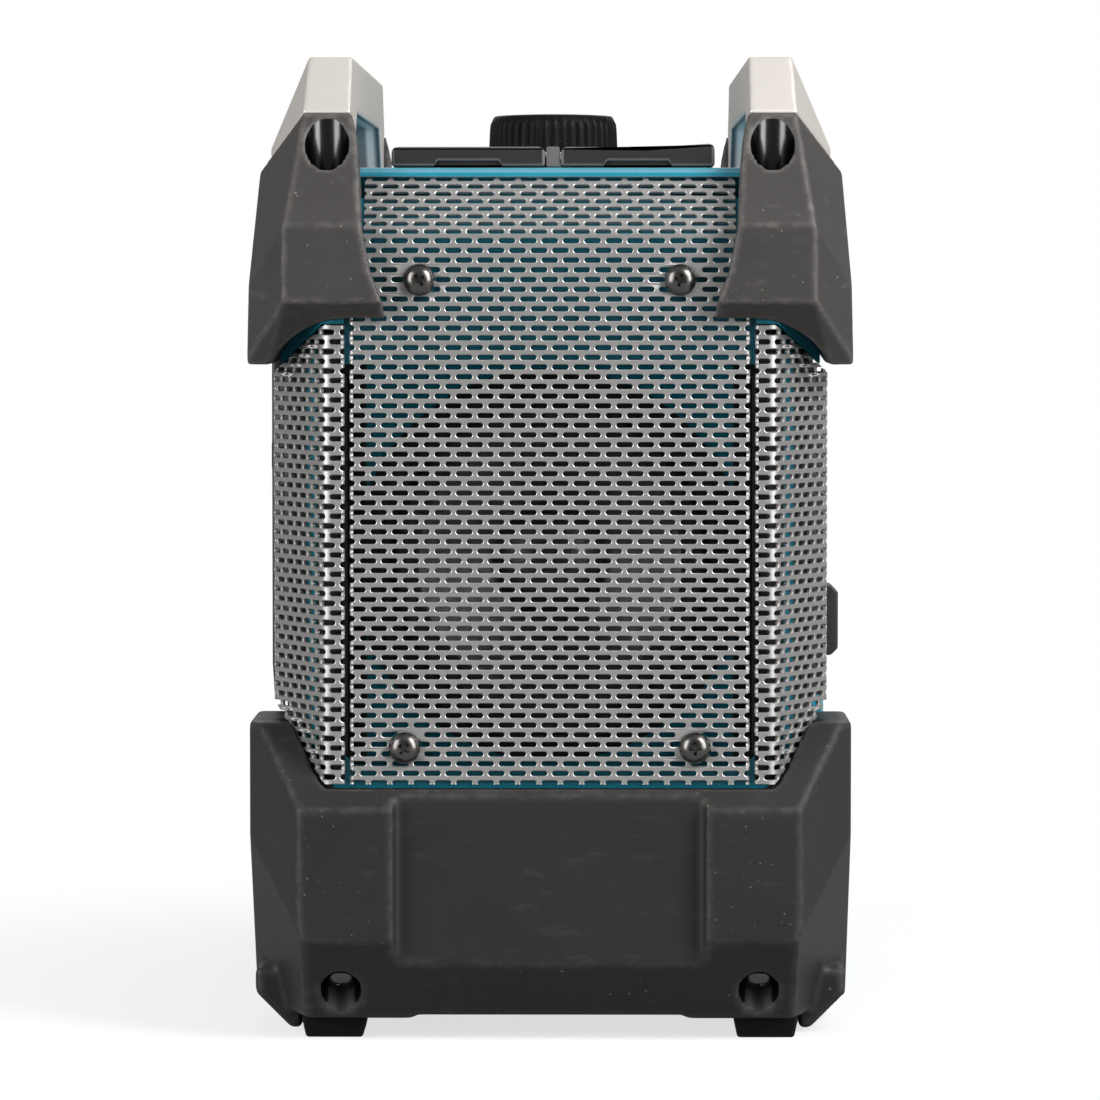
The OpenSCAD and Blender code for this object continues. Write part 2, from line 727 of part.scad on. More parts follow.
// The handle's foot, which stands on the housing inside the rubber
foot_x0 = end_x - 41;
foot_x1 = end_x - 25;
foot_depth = 11.7;
foot_plate = 3.4;
plate_x1 = end_x - 12.5;
module handle_foot(grow) {
    box([foot_x0 - grow, -handle_in - foot_depth - grow, housing_z1],
        [foot_x1 + grow, -handle_in, crown_z + 1]);
    box([foot_x0 - grow, -handle_in - foot_depth - grow, housing_z1],
        [plate_x1 + grow, -handle_in, housing_z1 + foot_plate + grow]);
}

module upper_bumper() {
    color(rubber_grey) difference() {
        along_x(bumper_x, end_x) bumper_outline();
        beyond([end_x, 0, bumper_lean_z], 0, bumper_lean);
        beyond([end_x, -bumper_corner_y, 0], -corner_turn, 0);
        shoulder_facet();
        above_cap();
        beyond([end_x, 0, bumper_tip_z + 4.4], 0, -47);
        beyond([end_x, -bumper_corner_y, bumper_tip_z + 4.4], -35, -36);
        // seats for the housing, the grille, the deck and the handle
        prism(housing_x, housing_y, housing_in, 0, housing_z1);
        box([0, -grille_half - 0.3, 0], [grille_x + 0.3, 0, lean_z + 1]);
        box([0, -handle_in, housing_z1 - eps], [rim_x + seat_gap, 0, big]);
        handle_foot(0);
        rod(down_in(upper_mouth, upper_recess_depth), 0, recess_steep, recess_r, 60);
        rod(upper_seat, 180, -recess_steep, screw_r + seat_gap, 30);
    }
}

bumper_x = end_x - bumper_len;
handle_half = end_x - handle_taper;
window_half = end_x - window_in;
leg_x = foot_x0;
handle_end = crown_x - 0.1;
module handle_bar() {
    top_y = handle_in + handle_top;
    color(silver) difference() {
        union() {
            difference() {
                intersection() {
                    along_x(-end_x, end_x) polygon([[-handle_in, housing_z1], [-handle_in, overall_h],
                        [-top_y, overall_h], [-shoulder_y, shoulder_z], [-shoulder_y, housing_z1]]);
                    along_y(-side_y, 0) polygon([[handle_end, crown_z], [handle_half, overall_h],
                        [-handle_half, overall_h], [-handle_end, crown_z], [-handle_end, housing_z1],
                        [handle_end, housing_z1]]);
                }
                both_ends() {
                    shoulder_facet();
                    difference() {
                        box([0, -big, 0], [big, big, crown_z + 1]);
                        above_cap();
                    }
                }
                box([-bumper_x, -big, 0], [bumper_x, big, crown_z - 16]);
            }
            both_ends() handle_foot(0);
        }
        // hand opening, wider at its foot
        along_y(-big / 2, 0) polygon([[-window_half, window_z], [window_half, window_z],
            [leg_x, window_z - 15], [leg_x, housing_z1 - 1], [-leg_x, housing_z1 - 1],
            [-leg_x, window_z - 15]]);
        both_ends() {
            rod(upper_seat, 180, -recess_steep, screw_r + run_gap, 30);
            rod(upper_seat, 0, recess_steep, recess_r, 60);
        }
    }
}

// ---------------------------------------------------------------- boots and feet
boot_x = end_x - boot_len;
panel_half = side_y - panel_in;
boot_corner_y = side_y - 14.8;
boot_out = cos(corner_turn) * end_x + sin(corner_turn) * boot_corner_y - corner_d;
pad_slope = 48;
skid_x0 = end_x - 61;
skid_x1 = end_x - 29;
skid_z = 1;
skid_bevel = 10;
foot_w = 18;
foot_l = 24;
foot_x = end_x - 29;
foot_y = side_y - 23.8;
belly_half = foot_y - 21.7;
panel_z0 = 20.9;
panel_z1 = 68.3;
module boot() {
    color(rubber_grey) difference() {
        union() {
            difference() {
                intersection() {
                    prism(end_x, side_y, -boot_out, boot_z0, boot_z1);
                    box([boot_x, -big, 0], [big, big, big]);
                }
                beyond([end_x, 0, pad_z1], 0, pad_slope);
                beyond([end_x, 0, pad_z0], 0, -undercut);
                both_sides() beyond([end_x, -boot_corner_y, pad_z0 + 2.3], -72, -12);
                // recessed middle panel, open at the top
                along_x(end_x - panel_depth, end_x + 1) translate([0, (panel_z0 + panel_z1 + 20) / 2])
                    rounded(2 * panel_half, panel_z1 + 20 - panel_z0, 3);
                box([0, -belly_half, 0], [big, belly_half, boot_z0 + 1]);
            }
            // side skids
            both_sides() difference() {
                box([skid_x0, -side_y + 1.4, skid_z], [skid_x1, -foot_y - foot_w / 2 - 0.3, 18]);
                beyond([0, -side_y + 1.4, skid_z + skid_bevel], -90, -45);
            }
        }
        housing_form(0);
        // pocket that the lower edges of the grilles stand in
        intersection() {
            prism(grille_x + 0.3, strip_y + 0.3, -0.3, 40, big);
            beyond([grille_x, 0, grille_z0 - 3.7], 0, 90 - atan(corner_rise / (grille_x - face_end_x)));
        }
        both_sides() {
            rod(lower_seat, 0, -recess_steep, low_recess_r, 40);
            rod(lower_seat, 180, recess_steep, screw_r + seat_gap, 30);
            translate([foot_x, -foot_y, 0]) cylinder(h = boot_z0 + 2, r = 3);
        }
    }
}

module feet() {
    color(black) four_corners() {
        translate([foot_x, -foot_y, 0]) {
            intersection() {
                along_x(-foot_l / 2, foot_l / 2) polygon([[-foot_w / 2, boot_z0], [foot_w / 2, boot_z0],
                    [foot_w / 2 - 1.2, 0], [-foot_w / 2 + 1.2, 0]]);
                along_y(-foot_w, foot_w) polygon([[-foot_l / 2, boot_z0], [foot_l / 2, boot_z0],
                    [foot_l / 2 - 1.2, 0], [-foot_l / 2 + 1.2, 0]]);
            }
            translate([0, 0, boot_z0 - eps]) cylinder(h = 2, r = 3 - run_gap);
        }
    }
}

// ---------------------------------------------------------------- control panel
panel_t = 3;
panel_half_x = strip_x - 4;
window_w = 66;
window_h = 34;
window_mid_z = panel_top - 32;
row_z = window_mid_z - 34;
button_x = window_w / 2 + 21;
button_step = button_x / 2;
cap_out = 1.2;
keeper_t = 1;
// Buttons: place along X, height, width and height of the cap
buttons = [[-button_x, window_mid_z, 13, 13], [button_x, window_mid_z, 13, 13],
    [-button_x, row_z, 17, 9], [-button_step, row_z, 17, 9], [0, row_z, 17, 9],
    [button_step, row_z, 17, 9], [button_x, row_z, 17, 9]];
module cap_outline(b, grow) {
    w = b[2] + 2 * grow;
    h = b[3] + 2 * grow;
    translate([b[0], b[1]]) rounded(w, h, b[2] == b[3] ? w / 2 - eps : 2 + grow);
}

module control_panel() {
    y0 = -panel_y;
    y1 = -panel_y + panel_t;
    edge = 10;
    color(black) difference() {
        union() {
            along_y(y0, y1) polygon([
                [-panel_half_x, panel_bottom + edge], [-panel_half_x + edge, panel_bottom],
                [panel_half_x - edge, panel_bottom], [panel_half_x, panel_bottom + edge],
                [panel_half_x, panel_top - edge], [panel_half_x - edge, panel_top],
                [-panel_half_x + edge, panel_top], [-panel_half_x, panel_top - edge]]);
            // feet that stand on the housing's front wall
            for (x = [-panel_half_x + 4.5, panel_half_x - 4.5], z = [panel_bottom + 20, panel_top - 17])
                translate([x, -housing_y, z]) rotate([90, 0, 0])
                    cylinder(h = panel_y - panel_t - housing_y + eps, r = 3);
        }
        along_y(-big, 0) {
            translate([0, window_mid_z]) rounded(window_w - 4, window_h - 4, 2);
            for (b = buttons) cap_outline(b, move_gap);
        }
        along_y(-big, y0 + 1.5) translate([0, window_mid_z]) rounded(window_w, window_h, 3);
    }
}

module display_window() {
    color(glass_dark) along_y(-panel_y + 0.1, -panel_y + 1.5) translate([0, window_mid_z])
        rounded(window_w - 2 * seat_gap, window_h - 2 * seat_gap, 3 - seat_gap);
}

module display_module() {
    color(board_green) along_y(-panel_y + panel_t, -board_y) translate([0, window_mid_z])
        square([window_w - 10, window_h], center = true);
}

module button(b) {
    y0 = -panel_y - cap_out;
    keeper = -panel_y + panel_t + 0.1;
    color(rubber_grey) {
        along_y(y0, keeper + eps) cap_outline(b, 0);
        along_y(keeper, keeper + keeper_t) cap_outline(b, 1.2);
        translate([b[0], keeper, b[1]]) rotate([-90, 0, 0])
            cylinder(h = panel_y - panel_t - board_y - switch_h - button_travel - 0.3, r = 2);
    }
}

switch_h = 2.2;
// Components: place along X and up from the board's lower edge, then their width, height and length
board_parts = [[-24, 16, 30, 3, 30], [18, 12, 32, 5, 18], [-56, 12, 22, 9, 14]];
module main_board() {
    color(board_green) difference() {
        union() {
            box([-board_half, -board_y, board_z0], [board_half, -board_y + board_t, board_z1]);
            // button switches in front, components behind
            for (b = buttons)
                translate([b[0], -board_y + eps, b[1]]) rotate([90, 0, 0]) cylinder(h = switch_h, r = 3);
            for (c = board_parts)
                translate([c[0], -board_y + board_t - eps, board_z0 + c[1]]) cube([c[2], c[3], c[4]]);
        }
        board_posts() rotate([90, 0, 0]) cylinder(h = 2 * board_y, r = 1.5, center = true);
    }
}

power_half = 60;
power_y0 = -52;
power_z = 22;
module power_board() {
    color(board_green) {
        difference() {
            box([-power_half, power_y0, power_z], [power_half, 0, power_z + board_t]);
            for (x = [-power_half + 5, power_half - 5], y = [power_y0 + 5, -5])
                translate([x, y, 0]) cylinder(h = 2 * power_z, r = 1.5);
        }
        for (x = [-40, -26, -12])
            translate([x, -30, power_z + board_t - eps]) cylinder(h = 22, r = 5.5);
        // finned heat sink of the amplifier
        box([10, -46, power_z + board_t - eps], [52, -10, power_z + board_t + 4]);
        for (i = [0 : 6])
            box([10 + i * 6.6, -46, power_z + board_t], [12.4 + i * 6.6, -10, power_z + 24]);
    }
}

// ---------------------------------------------------------------- speakers
speaker_x = housing_x - wall - flange_t;
frame_r = speaker_r + 5;
frame_t = 1.5;
basket_depth = 30;
basket_r = magnet_r - 3;
magnet_t = 16;
cone_t = 0.8;
cone_r = speaker_r - 11;
coil_r = 13;
surround_w = 6;
surround_z = -3;
cone_z = -4;
coil_z = -20;
shelf_r = cone_r + surround_w + 0.6;
dust_r = coil_r + 2.6;
// Height of the cone's front surface at a radius
cone_rise = (cone_z + cone_t - coil_z - cone_t * 1.4) / (cone_r - coil_r);
function cone_top(r) = coil_z + cone_t * 1.4 + (r - coil_r) * cone_rise;
// Places its children with +Z along the speaker's axis, at the back of each baffle
module at_speakers() {
    both_ends() translate([speaker_x, 0, speaker_z]) rotate([0, 90, 0]) children();
}

module speaker_frames() {
    shelf_z = surround_z - 0.2;
    color(black) at_speakers() difference() {
        rotate_extrude() polygon([[shelf_r + 2.4, 0], [frame_r, 0], [frame_r, -frame_t],
            [speaker_r, -frame_t], [basket_r + frame_t, -basket_depth], [coil_r + 2, -basket_depth],
            [coil_r + 2, -basket_depth + frame_t], [basket_r, -basket_depth + frame_t],
            [shelf_r, shelf_z - frame_t], [shelf_r, shelf_z], [shelf_r + 2.4, shelf_z]]);
        // windows in the basket
        for (a = [45, 135]) rotate([0, 0, a])
            translate([-big, -11, -basket_depth + frame_t + 3]) cube([2 * big, 22, basket_depth - 10]);
    }
}

module speaker_magnets() {
    color(steel) at_speakers() {
        difference() {
            translate([0, 0, -basket_depth - magnet_t]) cylinder(h = magnet_t, r = magnet_r);
            translate([0, 0, -basket_depth - magnet_t + 3]) cylinder(h = magnet_t, r = coil_r + 1.5);
        }
        translate([0, 0, -basket_depth - magnet_t + 3 - eps]) cylinder(h = magnet_t, r = coil_r - 1.5);
    }
}

module speaker_cones() {
    color([0.2, 0.2, 0.2]) at_speakers() {
        rotate_extrude() polygon([[coil_r, coil_z], [cone_r, cone_z], [cone_r, cone_z + cone_t],
            [coil_r, coil_z + cone_t * 1.4]]);
        difference() {
            translate([0, 0, -basket_depth - 8])
                cylinder(h = basket_depth + 8 + coil_z + 0.6, r = coil_r + 0.4);
            translate([0, 0, -basket_depth - 9]) cylinder(h = basket_depth, r = coil_r - 0.2);
        }
    }
}

module speaker_surrounds() {
    color(black) at_speakers() rotate_extrude() difference() {
        union() {
            translate([cone_r + surround_w / 2 - 0.2, surround_z]) circle(surround_w / 2);
            translate([cone_r - 2, cone_z + cone_t]) square([3, 1]);
            translate([cone_r + surround_w - 1, surround_z]) square([3.6, 1]);
        }
        translate([cone_r + surround_w / 2 - 0.2, surround_z]) circle(surround_w / 2 - 1);
        translate([cone_r - 3, cone_z - 8]) square([20, 8 + cone_t]);
    }
}

dome_r = 21;
dome_drop = sqrt(dome_r * dome_r - dust_r * dust_r);
module dust_caps() {
    color([0.2, 0.2, 0.2]) at_speakers() translate([0, 0, cone_top(dust_r) + 0.05]) intersection() {
        rotate_extrude() difference() {
            translate([0, -dome_drop]) circle(dome_r);
            translate([0, -dome_drop]) circle(dome_r - cone_t);
            translate([-big, -big]) square([big, 2 * big]);
        }
        cylinder(h = dome_r, r = dust_r);
    }
}

// ---------------------------------------------------------------- battery bay and door
door_y0 = housing_y + 0.6;
door_t = 4.2;
door_x0 = -58;
door_x1 = 62;
door_cut = 8;
door_z0 = bay_z0 - 8;
bay_z1 = overall_h - bay_drop;
latch_z = (bay_z0 + bay_z1) / 2 - latch_low;
door_z1 = bay_z1 + 8;
hinge_x = -62;
hinge_y = housing_y + 3.1;
knuckle_r = 2.6;
pin_r = 1.5;
ear_h = 12;
ear_zs = [door_z0 + 8, door_z1 - 8 - ear_h];
module hinge_ear(z) {
    translate([hinge_x, hinge_y, z]) cylinder(h = ear_h, r = knuckle_r);
    box([hinge_x - knuckle_r, housing_y - eps, z], [hinge_x + knuckle_r, hinge_y, z + ear_h]);
}

module battery_bay() {
    y1 = housing_y;
    y0 = housing_y - bay_depth;
    color(black) difference() {
        union() {
            box([-bay_out, y0 - liner_t, bay_z0 - liner_t], [bay_out, y1, bay_z1 + liner_t]);
            // feet on the floor of the housing
            for (x = [-20, 20])
                box([x - 4, y0 + 6, housing_z0 + wall], [x + 4, y1 - 10, bay_z0 - liner_t + eps]);
        }
        box([-bay_half, y0, bay_z0], [bay_half, y1 + 1, bay_z1]);
        box([-terminal_half, y0 + terminal_in, bay_z0 - liner_t - 1],
            [terminal_half, y0 + terminal_in + terminal_d, bay_z0 + 1]);
    }
}

terminal_half = 13;
terminal_d = 16;
terminal_in = 10;
module battery_terminals() {
    half = terminal_half - seat_gap;
    y0 = housing_y - bay_depth + terminal_in + seat_gap;
    y1 = y0 + terminal_d - 2 * seat_gap;
    color(brass) {
        box([-half, y0, bay_z0 - 9], [half, y1, bay_z0 + 1]);
        // flange under the bay's floor, and three blades
        box([-half - 3, y0 - 1, bay_z0 - liner_t - 3], [half + 3, y1 + 1, bay_z0 - liner_t]);
        for (x = [-8, 0, 8])
            box([x - 0.5, y0 + 2, bay_z0 + 1 - eps], [x + 0.5, y1 - 2, bay_z0 + 10]);
    }
}

latch_w = 14;
latch_h = 20;
latch_travel = 5;
latch_x = door_x1 - 8.5;
latch_out = 81.5;
tongue_h = 8;
tongue_t = 2;
neck_w = 4;
nose_w = 6;
neck_x = latch_x - 0.5;
pocket_w = nose_w + latch_travel + 3 * move_gap;
pocket_x1 = neck_x + nose_w + 2 * move_gap;
pocket_h = tongue_h + 4 * move_gap;
module battery_door() {
    knuckle_z0 = ear_zs[0] + ear_h + move_gap;
    knuckle_z1 = ear_zs[1] - move_gap;
    y1 = door_y0 + door_t;
    color(blue) difference() {
        union() {
            difference() {
                along_y(door_y0, y1) polygon([
                    [door_x0, door_z0], [door_x1 - door_cut, door_z0], [door_x1, door_z0 + door_cut],
                    [door_x1, door_z1 - door_cut], [door_x1 - door_cut, door_z1], [door_x0, door_z1]]);
                // shallow grooves on the outside
                for (z = [door_z0 + 14, door_z1 - 22]) for (i = [0 : 2])
                    box([-40, y1 - 0.8, z + i * 4], [30, y1 + 1, z + i * 4 + 1.6]);
            }
            translate([hinge_x, hinge_y, knuckle_z0])
                cylinder(h = knuckle_z1 - knuckle_z0, r = knuckle_r);
            box([hinge_x, hinge_y - 1.2, knuckle_z0], [door_x0 + 1, hinge_y + 1.4, knuckle_z1]);
        }
        translate([hinge_x, hinge_y, 0]) cylinder(h = big, r = pin_r + run_gap);
        // slot for the latch and its travel
        box([neck_x - latch_travel - move_gap, door_y0 - 1, latch_z - tongue_h / 2 - move_gap],
            [neck_x + neck_w + move_gap, y1 + 1, latch_z + tongue_h / 2 + move_gap]);
    }
}

module battery_latch() {
    y1 = door_y0 + door_t + move_gap;
    color(black) {
        // thumb piece with a bevelled edge, the neck through the door, and the tongue
        difference() {
            along_x(latch_x - latch_w / 2, latch_x + latch_w / 2) polygon([
                [y1, latch_z - latch_h / 2], [latch_out - 2, latch_z - latch_h / 2],
                [latch_out, latch_z - latch_h / 2 + 2], [latch_out, latch_z + latch_h / 2 - 2],
                [latch_out - 2, latch_z + latch_h / 2], [y1, latch_z + latch_h / 2]]);
            for (i = [-1 : 1])
                translate([latch_x + i * 3 - 0.6, latch_out - 0.8, latch_z - 6]) cube([1.2, 2, 12]);
        }
        box([neck_x, door_y0 - move_gap - tongue_t, latch_z - tongue_h / 2],
            [neck_x + neck_w, y1 + eps, latch_z + tongue_h / 2]);
        box([neck_x, door_y0 - move_gap - tongue_t, latch_z - tongue_h / 2],
            [neck_x + nose_w, door_y0 - move_gap, latch_z + tongue_h / 2]);
    }
}

seal_w = 1.4;
module door_seal() {
    half_w = bay_out + 1.2;
    half_h = (bay_z1 - bay_z0) / 2 + liner_t + 1.2;
    color(rubber_grey) along_y(housing_y + run_gap, door_y0)
        translate([0, (bay_z0 + bay_z1) / 2]) difference() {
            rounded(2 * (half_w + seal_w), 2 * (half_h + seal_w), 3);
            rounded(2 * half_w, 2 * half_h, 2);
        }
}

module door_hinge_pin() {
    color(steel) translate([hinge_x, hinge_y, ear_zs[0] + 1])
        cylinder(h = ear_zs[1] + ear_h - ear_zs[0] - 2, r = pin_r);
}

// ---------------------------------------------------------------- sockets and flaps
audio_r = 4;
jack_r = 1.8;
usb_w = 14.4;
usb_h = 7.2;
inlet_r = 5.6;
inlet_bore = 3.2;
socket_len = 16;
socket_out = 1.2;
socket_top = deck_z - well_depth + socket_out;
// The wider part of a socket, below the well's floor
socket_body = socket_len - socket_out - well_wall;
module audio_socket() {
    color(steel) translate([audio_x, socket_y, socket_top - socket_len]) difference() {
        union() {
            cylinder(h = socket_len, r = audio_r);
            cylinder(h = socket_body, r = audio_r + 1.5);
        }
        translate([0, 0, 2]) cylinder(h = socket_len, r = jack_r);
    }
}

module charging_socket() {
    color(steel) translate([usb_x, socket_y, socket_top - socket_len]) difference() {
        union() {
            linear_extrude(socket_len) square([usb_h, usb_w], center = true);
            linear_extrude(socket_body) square([usb_h + 2.4, usb_w + 2.4], center = true);
        }
        translate([0, 0, 2]) linear_extrude(socket_len)
            square([usb_h - 1.2, usb_w - 1.2], center = true);
    }
    // contact tongue
    color(black) translate([usb_x - 1.1, socket_y - usb_w / 2 + 1, socket_top - socket_len + 2 - eps])
        cube([2.2, usb_w - 2, 12]);
}

module power_inlet() {
    color(black) translate([inlet_x, -socket_y, socket_top - socket_len]) {
        difference() {
            union() {
                cylinder(h = socket_len, r = inlet_r);
                cylinder(h = socket_body, r = inlet_r + 1.5);
            }
            translate([0, 0, 2]) cylinder(h = socket_len, r = inlet_bore);
        }
        translate([0, 0, 2 - eps]) cylinder(h = 11, r = 1);
    }
}

notch_w = 18;
notch_h = 1.4;
flap_z0 = deck_z + 0.3;
flap_z = deck_z + flap_h;
flap_w = deck_half - flap_margin;
// A flap that closes the deck from y0 to y0 + flap_w, and hinges at hinge_line_x. Its far end
// may be lifted a little.
module flap(y0, barrel_y0, barrel_y1, notch_y, lift = 0) {
    x0 = hinge_line_x + barrel_r + 0.4;
    x1 = hinge_line_x + flap_len;
    color(black) difference() {
        union() {
            along_x(x0, x1) polygon([
                [y0, flap_z0], [y0 + flap_w, flap_z0], [y0 + flap_w, flap_z - 1 + lift],
                [y0 + flap_w - 1, flap_z + lift], [y0 + flap_w * 0.55, flap_z - lift * 0.3],
                [y0 + 1, flap_z], [y0, flap_z - 1]]);
            translate([hinge_line_x, barrel_y0, hinge_line_z]) rotate([-90, 0, 0])
                cylinder(h = barrel_y1 - barrel_y0, r = barrel_r);
            box([hinge_line_x, barrel_y0, hinge_line_z - 1.2], [x0 + eps, barrel_y1, hinge_line_z + 1.2]);
        }
        translate([hinge_line_x, -big, hinge_line_z]) rotate([-90, 0, 0])
            cylinder(h = 2 * big, r = flap_pin_r + run_gap);
        // hollow underneath, finger notch at the free edge
        box([x0 + 4, y0 + 2.5, flap_z0 - 1], [x1 - 3, y0 + flap_w - 2.5, flap_z - 2.4]);
        box([x1 - 4, notch_y - notch_w / 2, flap_z0 - 1],
            [x1 + 1, notch_y + notch_w / 2, flap_z0 + notch_h]);
    }
}

module front_flap() {
    flap(front_flap_y - flap_w, -deck_half + 9 + ear_len + move_gap,
        front_flap_y - 0.6 - ear_len - move_gap, front_flap_y - flap_w / 2);
}

module rear_flap() {
    flap(rear_flap_y, rear_flap_y + 0.6 + ear_len + move_gap,
        deck_half - 9 - ear_len - move_gap, rear_flap_y + flap_w / 2, 0.9);
}

module flap_pins() {
    color(steel) {
        translate([hinge_line_x, -deck_half + 9.5, hinge_line_z]) rotate([-90, 0, 0])
            cylinder(h = deck_half - 9.5 + front_flap_y - 1, r = flap_pin_r);
        translate([hinge_line_x, rear_flap_y + 1, hinge_line_z]) rotate([-90, 0, 0])
            cylinder(h = deck_half - 9.5 - rear_flap_y - 1, r = flap_pin_r);
    }
}

// ---------------------------------------------------------------- volume knob
knob_z0 = deck_z + 2;
knob_z = deck_z + knob_rise;
knob_bevel = 1.5;
knob_bevel_h = 2.4;
flutes = 40;
bushing_r = 4.5;
module volume_knob() {
    color(black) translate([knob_x, 0, 0]) difference() {
        union() {
            translate([0, 0, knob_z0])
                cylinder(h = knob_z - knob_z0 - knob_bevel_h, r1 = knob_r, r2 = knob_r - 0.4);
            translate([0, 0, knob_z - knob_bevel_h - eps])
                cylinder(h = knob_bevel_h, r1 = knob_r - 0.4, r2 = knob_r - 0.4 - knob_bevel);
        }
        for (i = [0 : flutes - 1]) rotate([0, 0, i * 360 / flutes])
            translate([knob_r + 0.3, 0, knob_z0 - 1]) rotate([0, -2, 0])
                cylinder(h = knob_z, r = 0.9, $fn = 16);
        translate([0, 0, knob_z0 - 1]) cylinder(h = knob_z - knob_z0 - 4, r = shaft_r);
        translate([0, 0, knob_z0 - 1]) cylinder(h = 4, r = ring_r - 5);
        translate([0, 0, knob_z - 0.8]) cylinder(h = 2, r = knob_r - 4);
    }
}

module encoder_shaft() {
    color(steel) translate([knob_x, 0, deck_z - 9])
        cylinder(h = knob_z - 5 - deck_z + 9, r = shaft_r);
}

module encoder_body() {
    color(steel) translate([knob_x, 0, 0]) difference() {
        union() {
            translate([-7, -7, deck_z - 11]) cube([14, 14, 11 - deck_plate]);
            translate([0, 0, deck_z - deck_plate - eps]) cylinder(h = deck_plate + 4, r = bushing_r);
        }
        translate([0, 0, deck_z - 9 - 0.1]) cylinder(h = 30, r = shaft_r + run_gap);
    }
}

// ---------------------------------------------------------------- antenna
antenna_x = hinge_line_x - antenna_back;
antenna_z = deck_z + 3.1;
blade_w = 2.6;
antenna_ear = 2;
antenna_pin_r = 1;
tube_wall = 0.4;
tube_x0 = antenna_x + 4;
tube_x1 = tube_x0 + antenna_len;
middle_r = antenna_r - tube_wall;
tip_r = middle_r - tube_wall;
tab_w = 3.6;
tab_h = 5.4;
tab_len = 4;
module antenna_base() {
    gap_half = blade_w / 2 + 0.15;
    color(steel) difference() {
        union() {
            for (s = [-1, 1]) {
                y = antenna_y + s * (gap_half + antenna_ear / 2);
                translate([antenna_x, y, antenna_z]) rotate([90, 0, 0])
                    cylinder(h = antenna_ear, r = antenna_z - deck_z, center = true);
                box([antenna_x - 5, y - antenna_ear / 2, deck_z],
                    [antenna_x + 3.1, y + antenna_ear / 2, antenna_z]);
            }
            // web that joins the ears behind the blade
            box([antenna_x - 5, antenna_y - gap_half - antenna_ear, deck_z],
                [antenna_x - 3.6, antenna_y + gap_half + antenna_ear, antenna_z]);
        }
        translate([antenna_x, 0, antenna_z]) rotate([90, 0, 0])
            cylinder(h = 40, r = antenna_pin_r + run_gap / 2, center = true);
    }
}

module antenna_pin() {
    color(steel) translate([antenna_x, antenna_y, antenna_z]) rotate([90, 0, 0])
        cylinder(h = blade_w + 2 * antenna_ear + 0.6, r = antenna_pin_r, center = true);
}

module antenna_tube() {
    color(silver) difference() {
        union() {
            translate([antenna_x, antenna_y, antenna_z]) rotate([90, 0, 0])
                cylinder(h = blade_w, r = 2.5, center = true);
            box([antenna_x, antenna_y - blade_w / 2, antenna_z - 1.2],
                [tube_x0 + 1, antenna_y + blade_w / 2, antenna_z + 1.2]);
            translate([tube_x0, antenna_y, antenna_z]) rotate([0, 90, 0])
                cylinder(h = antenna_len, r = antenna_r);
        }
        translate([antenna_x, antenna_y, antenna_z]) rotate([90, 0, 0])
            cylinder(h = 20, r = antenna_pin_r + run_gap, center = true);
        translate([tube_x0 + 2, antenna_y, antenna_z]) rotate([0, 90, 0])
            cylinder(h = antenna_len, r = middle_r + run_gap);
    }
}

module antenna_middle() {
    color(silver) translate([tube_x0 + 3, antenna_y, antenna_z]) rotate([0, 90, 0]) difference() {
        cylinder(h = antenna_len - 2, r = middle_r);
        translate([0, 0, 1]) cylinder(h = antenna_len, r = tip_r + run_gap);
    }
}

module antenna_tip() {
    color(silver) {
        translate([tube_x0 + 5, antenna_y, antenna_z]) rotate([0, 90, 0])
            cylinder(h = tube_x1 + 2.5 - tube_x0 - 5, r = tip_r);
        along_x(tube_x1 + 2, tube_x1 + 2 + tab_len) translate([antenna_y, antenna_z])
            rounded(tab_w, tab_h, 0.6);
    }
}

// ---------------------------------------------------------------- screws
module grille_screws() {
    color(black) both_ends() grille_screw_places()
        screw([grille_x, 0, 0], 0, 0, grille_screw_len);
}

module bumper_screws() {
    color(black) four_corners() {
        screw(upper_seat, 0, recess_steep, upper_screw_len);
        screw(lower_seat, 0, -recess_steep, lower_screw_len, low_recess_r - 1);
    }
}

module housing_screws() {
    color(black) for (x = [-housing_screw_x, housing_screw_x], z = housing_screw_zs)
        screw([x, rear_screw_seat, z], 90, 0, rear_screw_seat + 10);
}

front_housing();
rear_housing();
top_deck();
baffle();  // right_baffle
mirror([1, 0, 0]) baffle();  // left_baffle
end_grille();  // right_end_grille
mirror([1, 0, 0]) end_grille();  // left_end_grille
corner_grille();  // front_right_corner_grille
mirror([1, 0, 0]) corner_grille();  // front_left_corner_grille
mirror([0, 1, 0]) corner_grille();  // rear_right_corner_grille
rotate([0, 0, 180]) corner_grille();  // rear_left_corner_grille
upper_bumper();  // front_right_bumper
mirror([1, 0, 0]) upper_bumper();  // front_left_bumper
mirror([0, 1, 0]) upper_bumper();  // rear_right_bumper
rotate([0, 0, 180]) upper_bumper();  // rear_left_bumper
boot();  // right_boot
mirror([1, 0, 0]) boot();  // left_boot
feet();
handle_bar();  // front_handle
mirror([0, 1, 0]) handle_bar();  // rear_handle
control_panel();
display_window();
display_module();
main_board();
power_board();
speaker_frames();
speaker_magnets();
speaker_cones();
speaker_surrounds();
dust_caps();
battery_bay();
battery_terminals();
battery_door();
door_seal();
door_hinge_pin();
battery_latch();
audio_socket();
charging_socket();
power_inlet();
front_flap();
rear_flap();
flap_pins();
volume_knob();
encoder_shaft();
encoder_body();
antenna_base();
antenna_pin();
antenna_tube();
antenna_middle();
antenna_tip();
button(buttons[0]);  // power_button
button(buttons[1]);  // source_button
button(buttons[2]);  // tune_down_button
button(buttons[6]);  // tune_up_button
button(buttons[4]);  // menu_button
button(buttons[3]);  // preset_1_button
button(buttons[5]);  // preset_2_button
grille_screws();
bumper_screws();
housing_screws();
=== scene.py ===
import json
import math

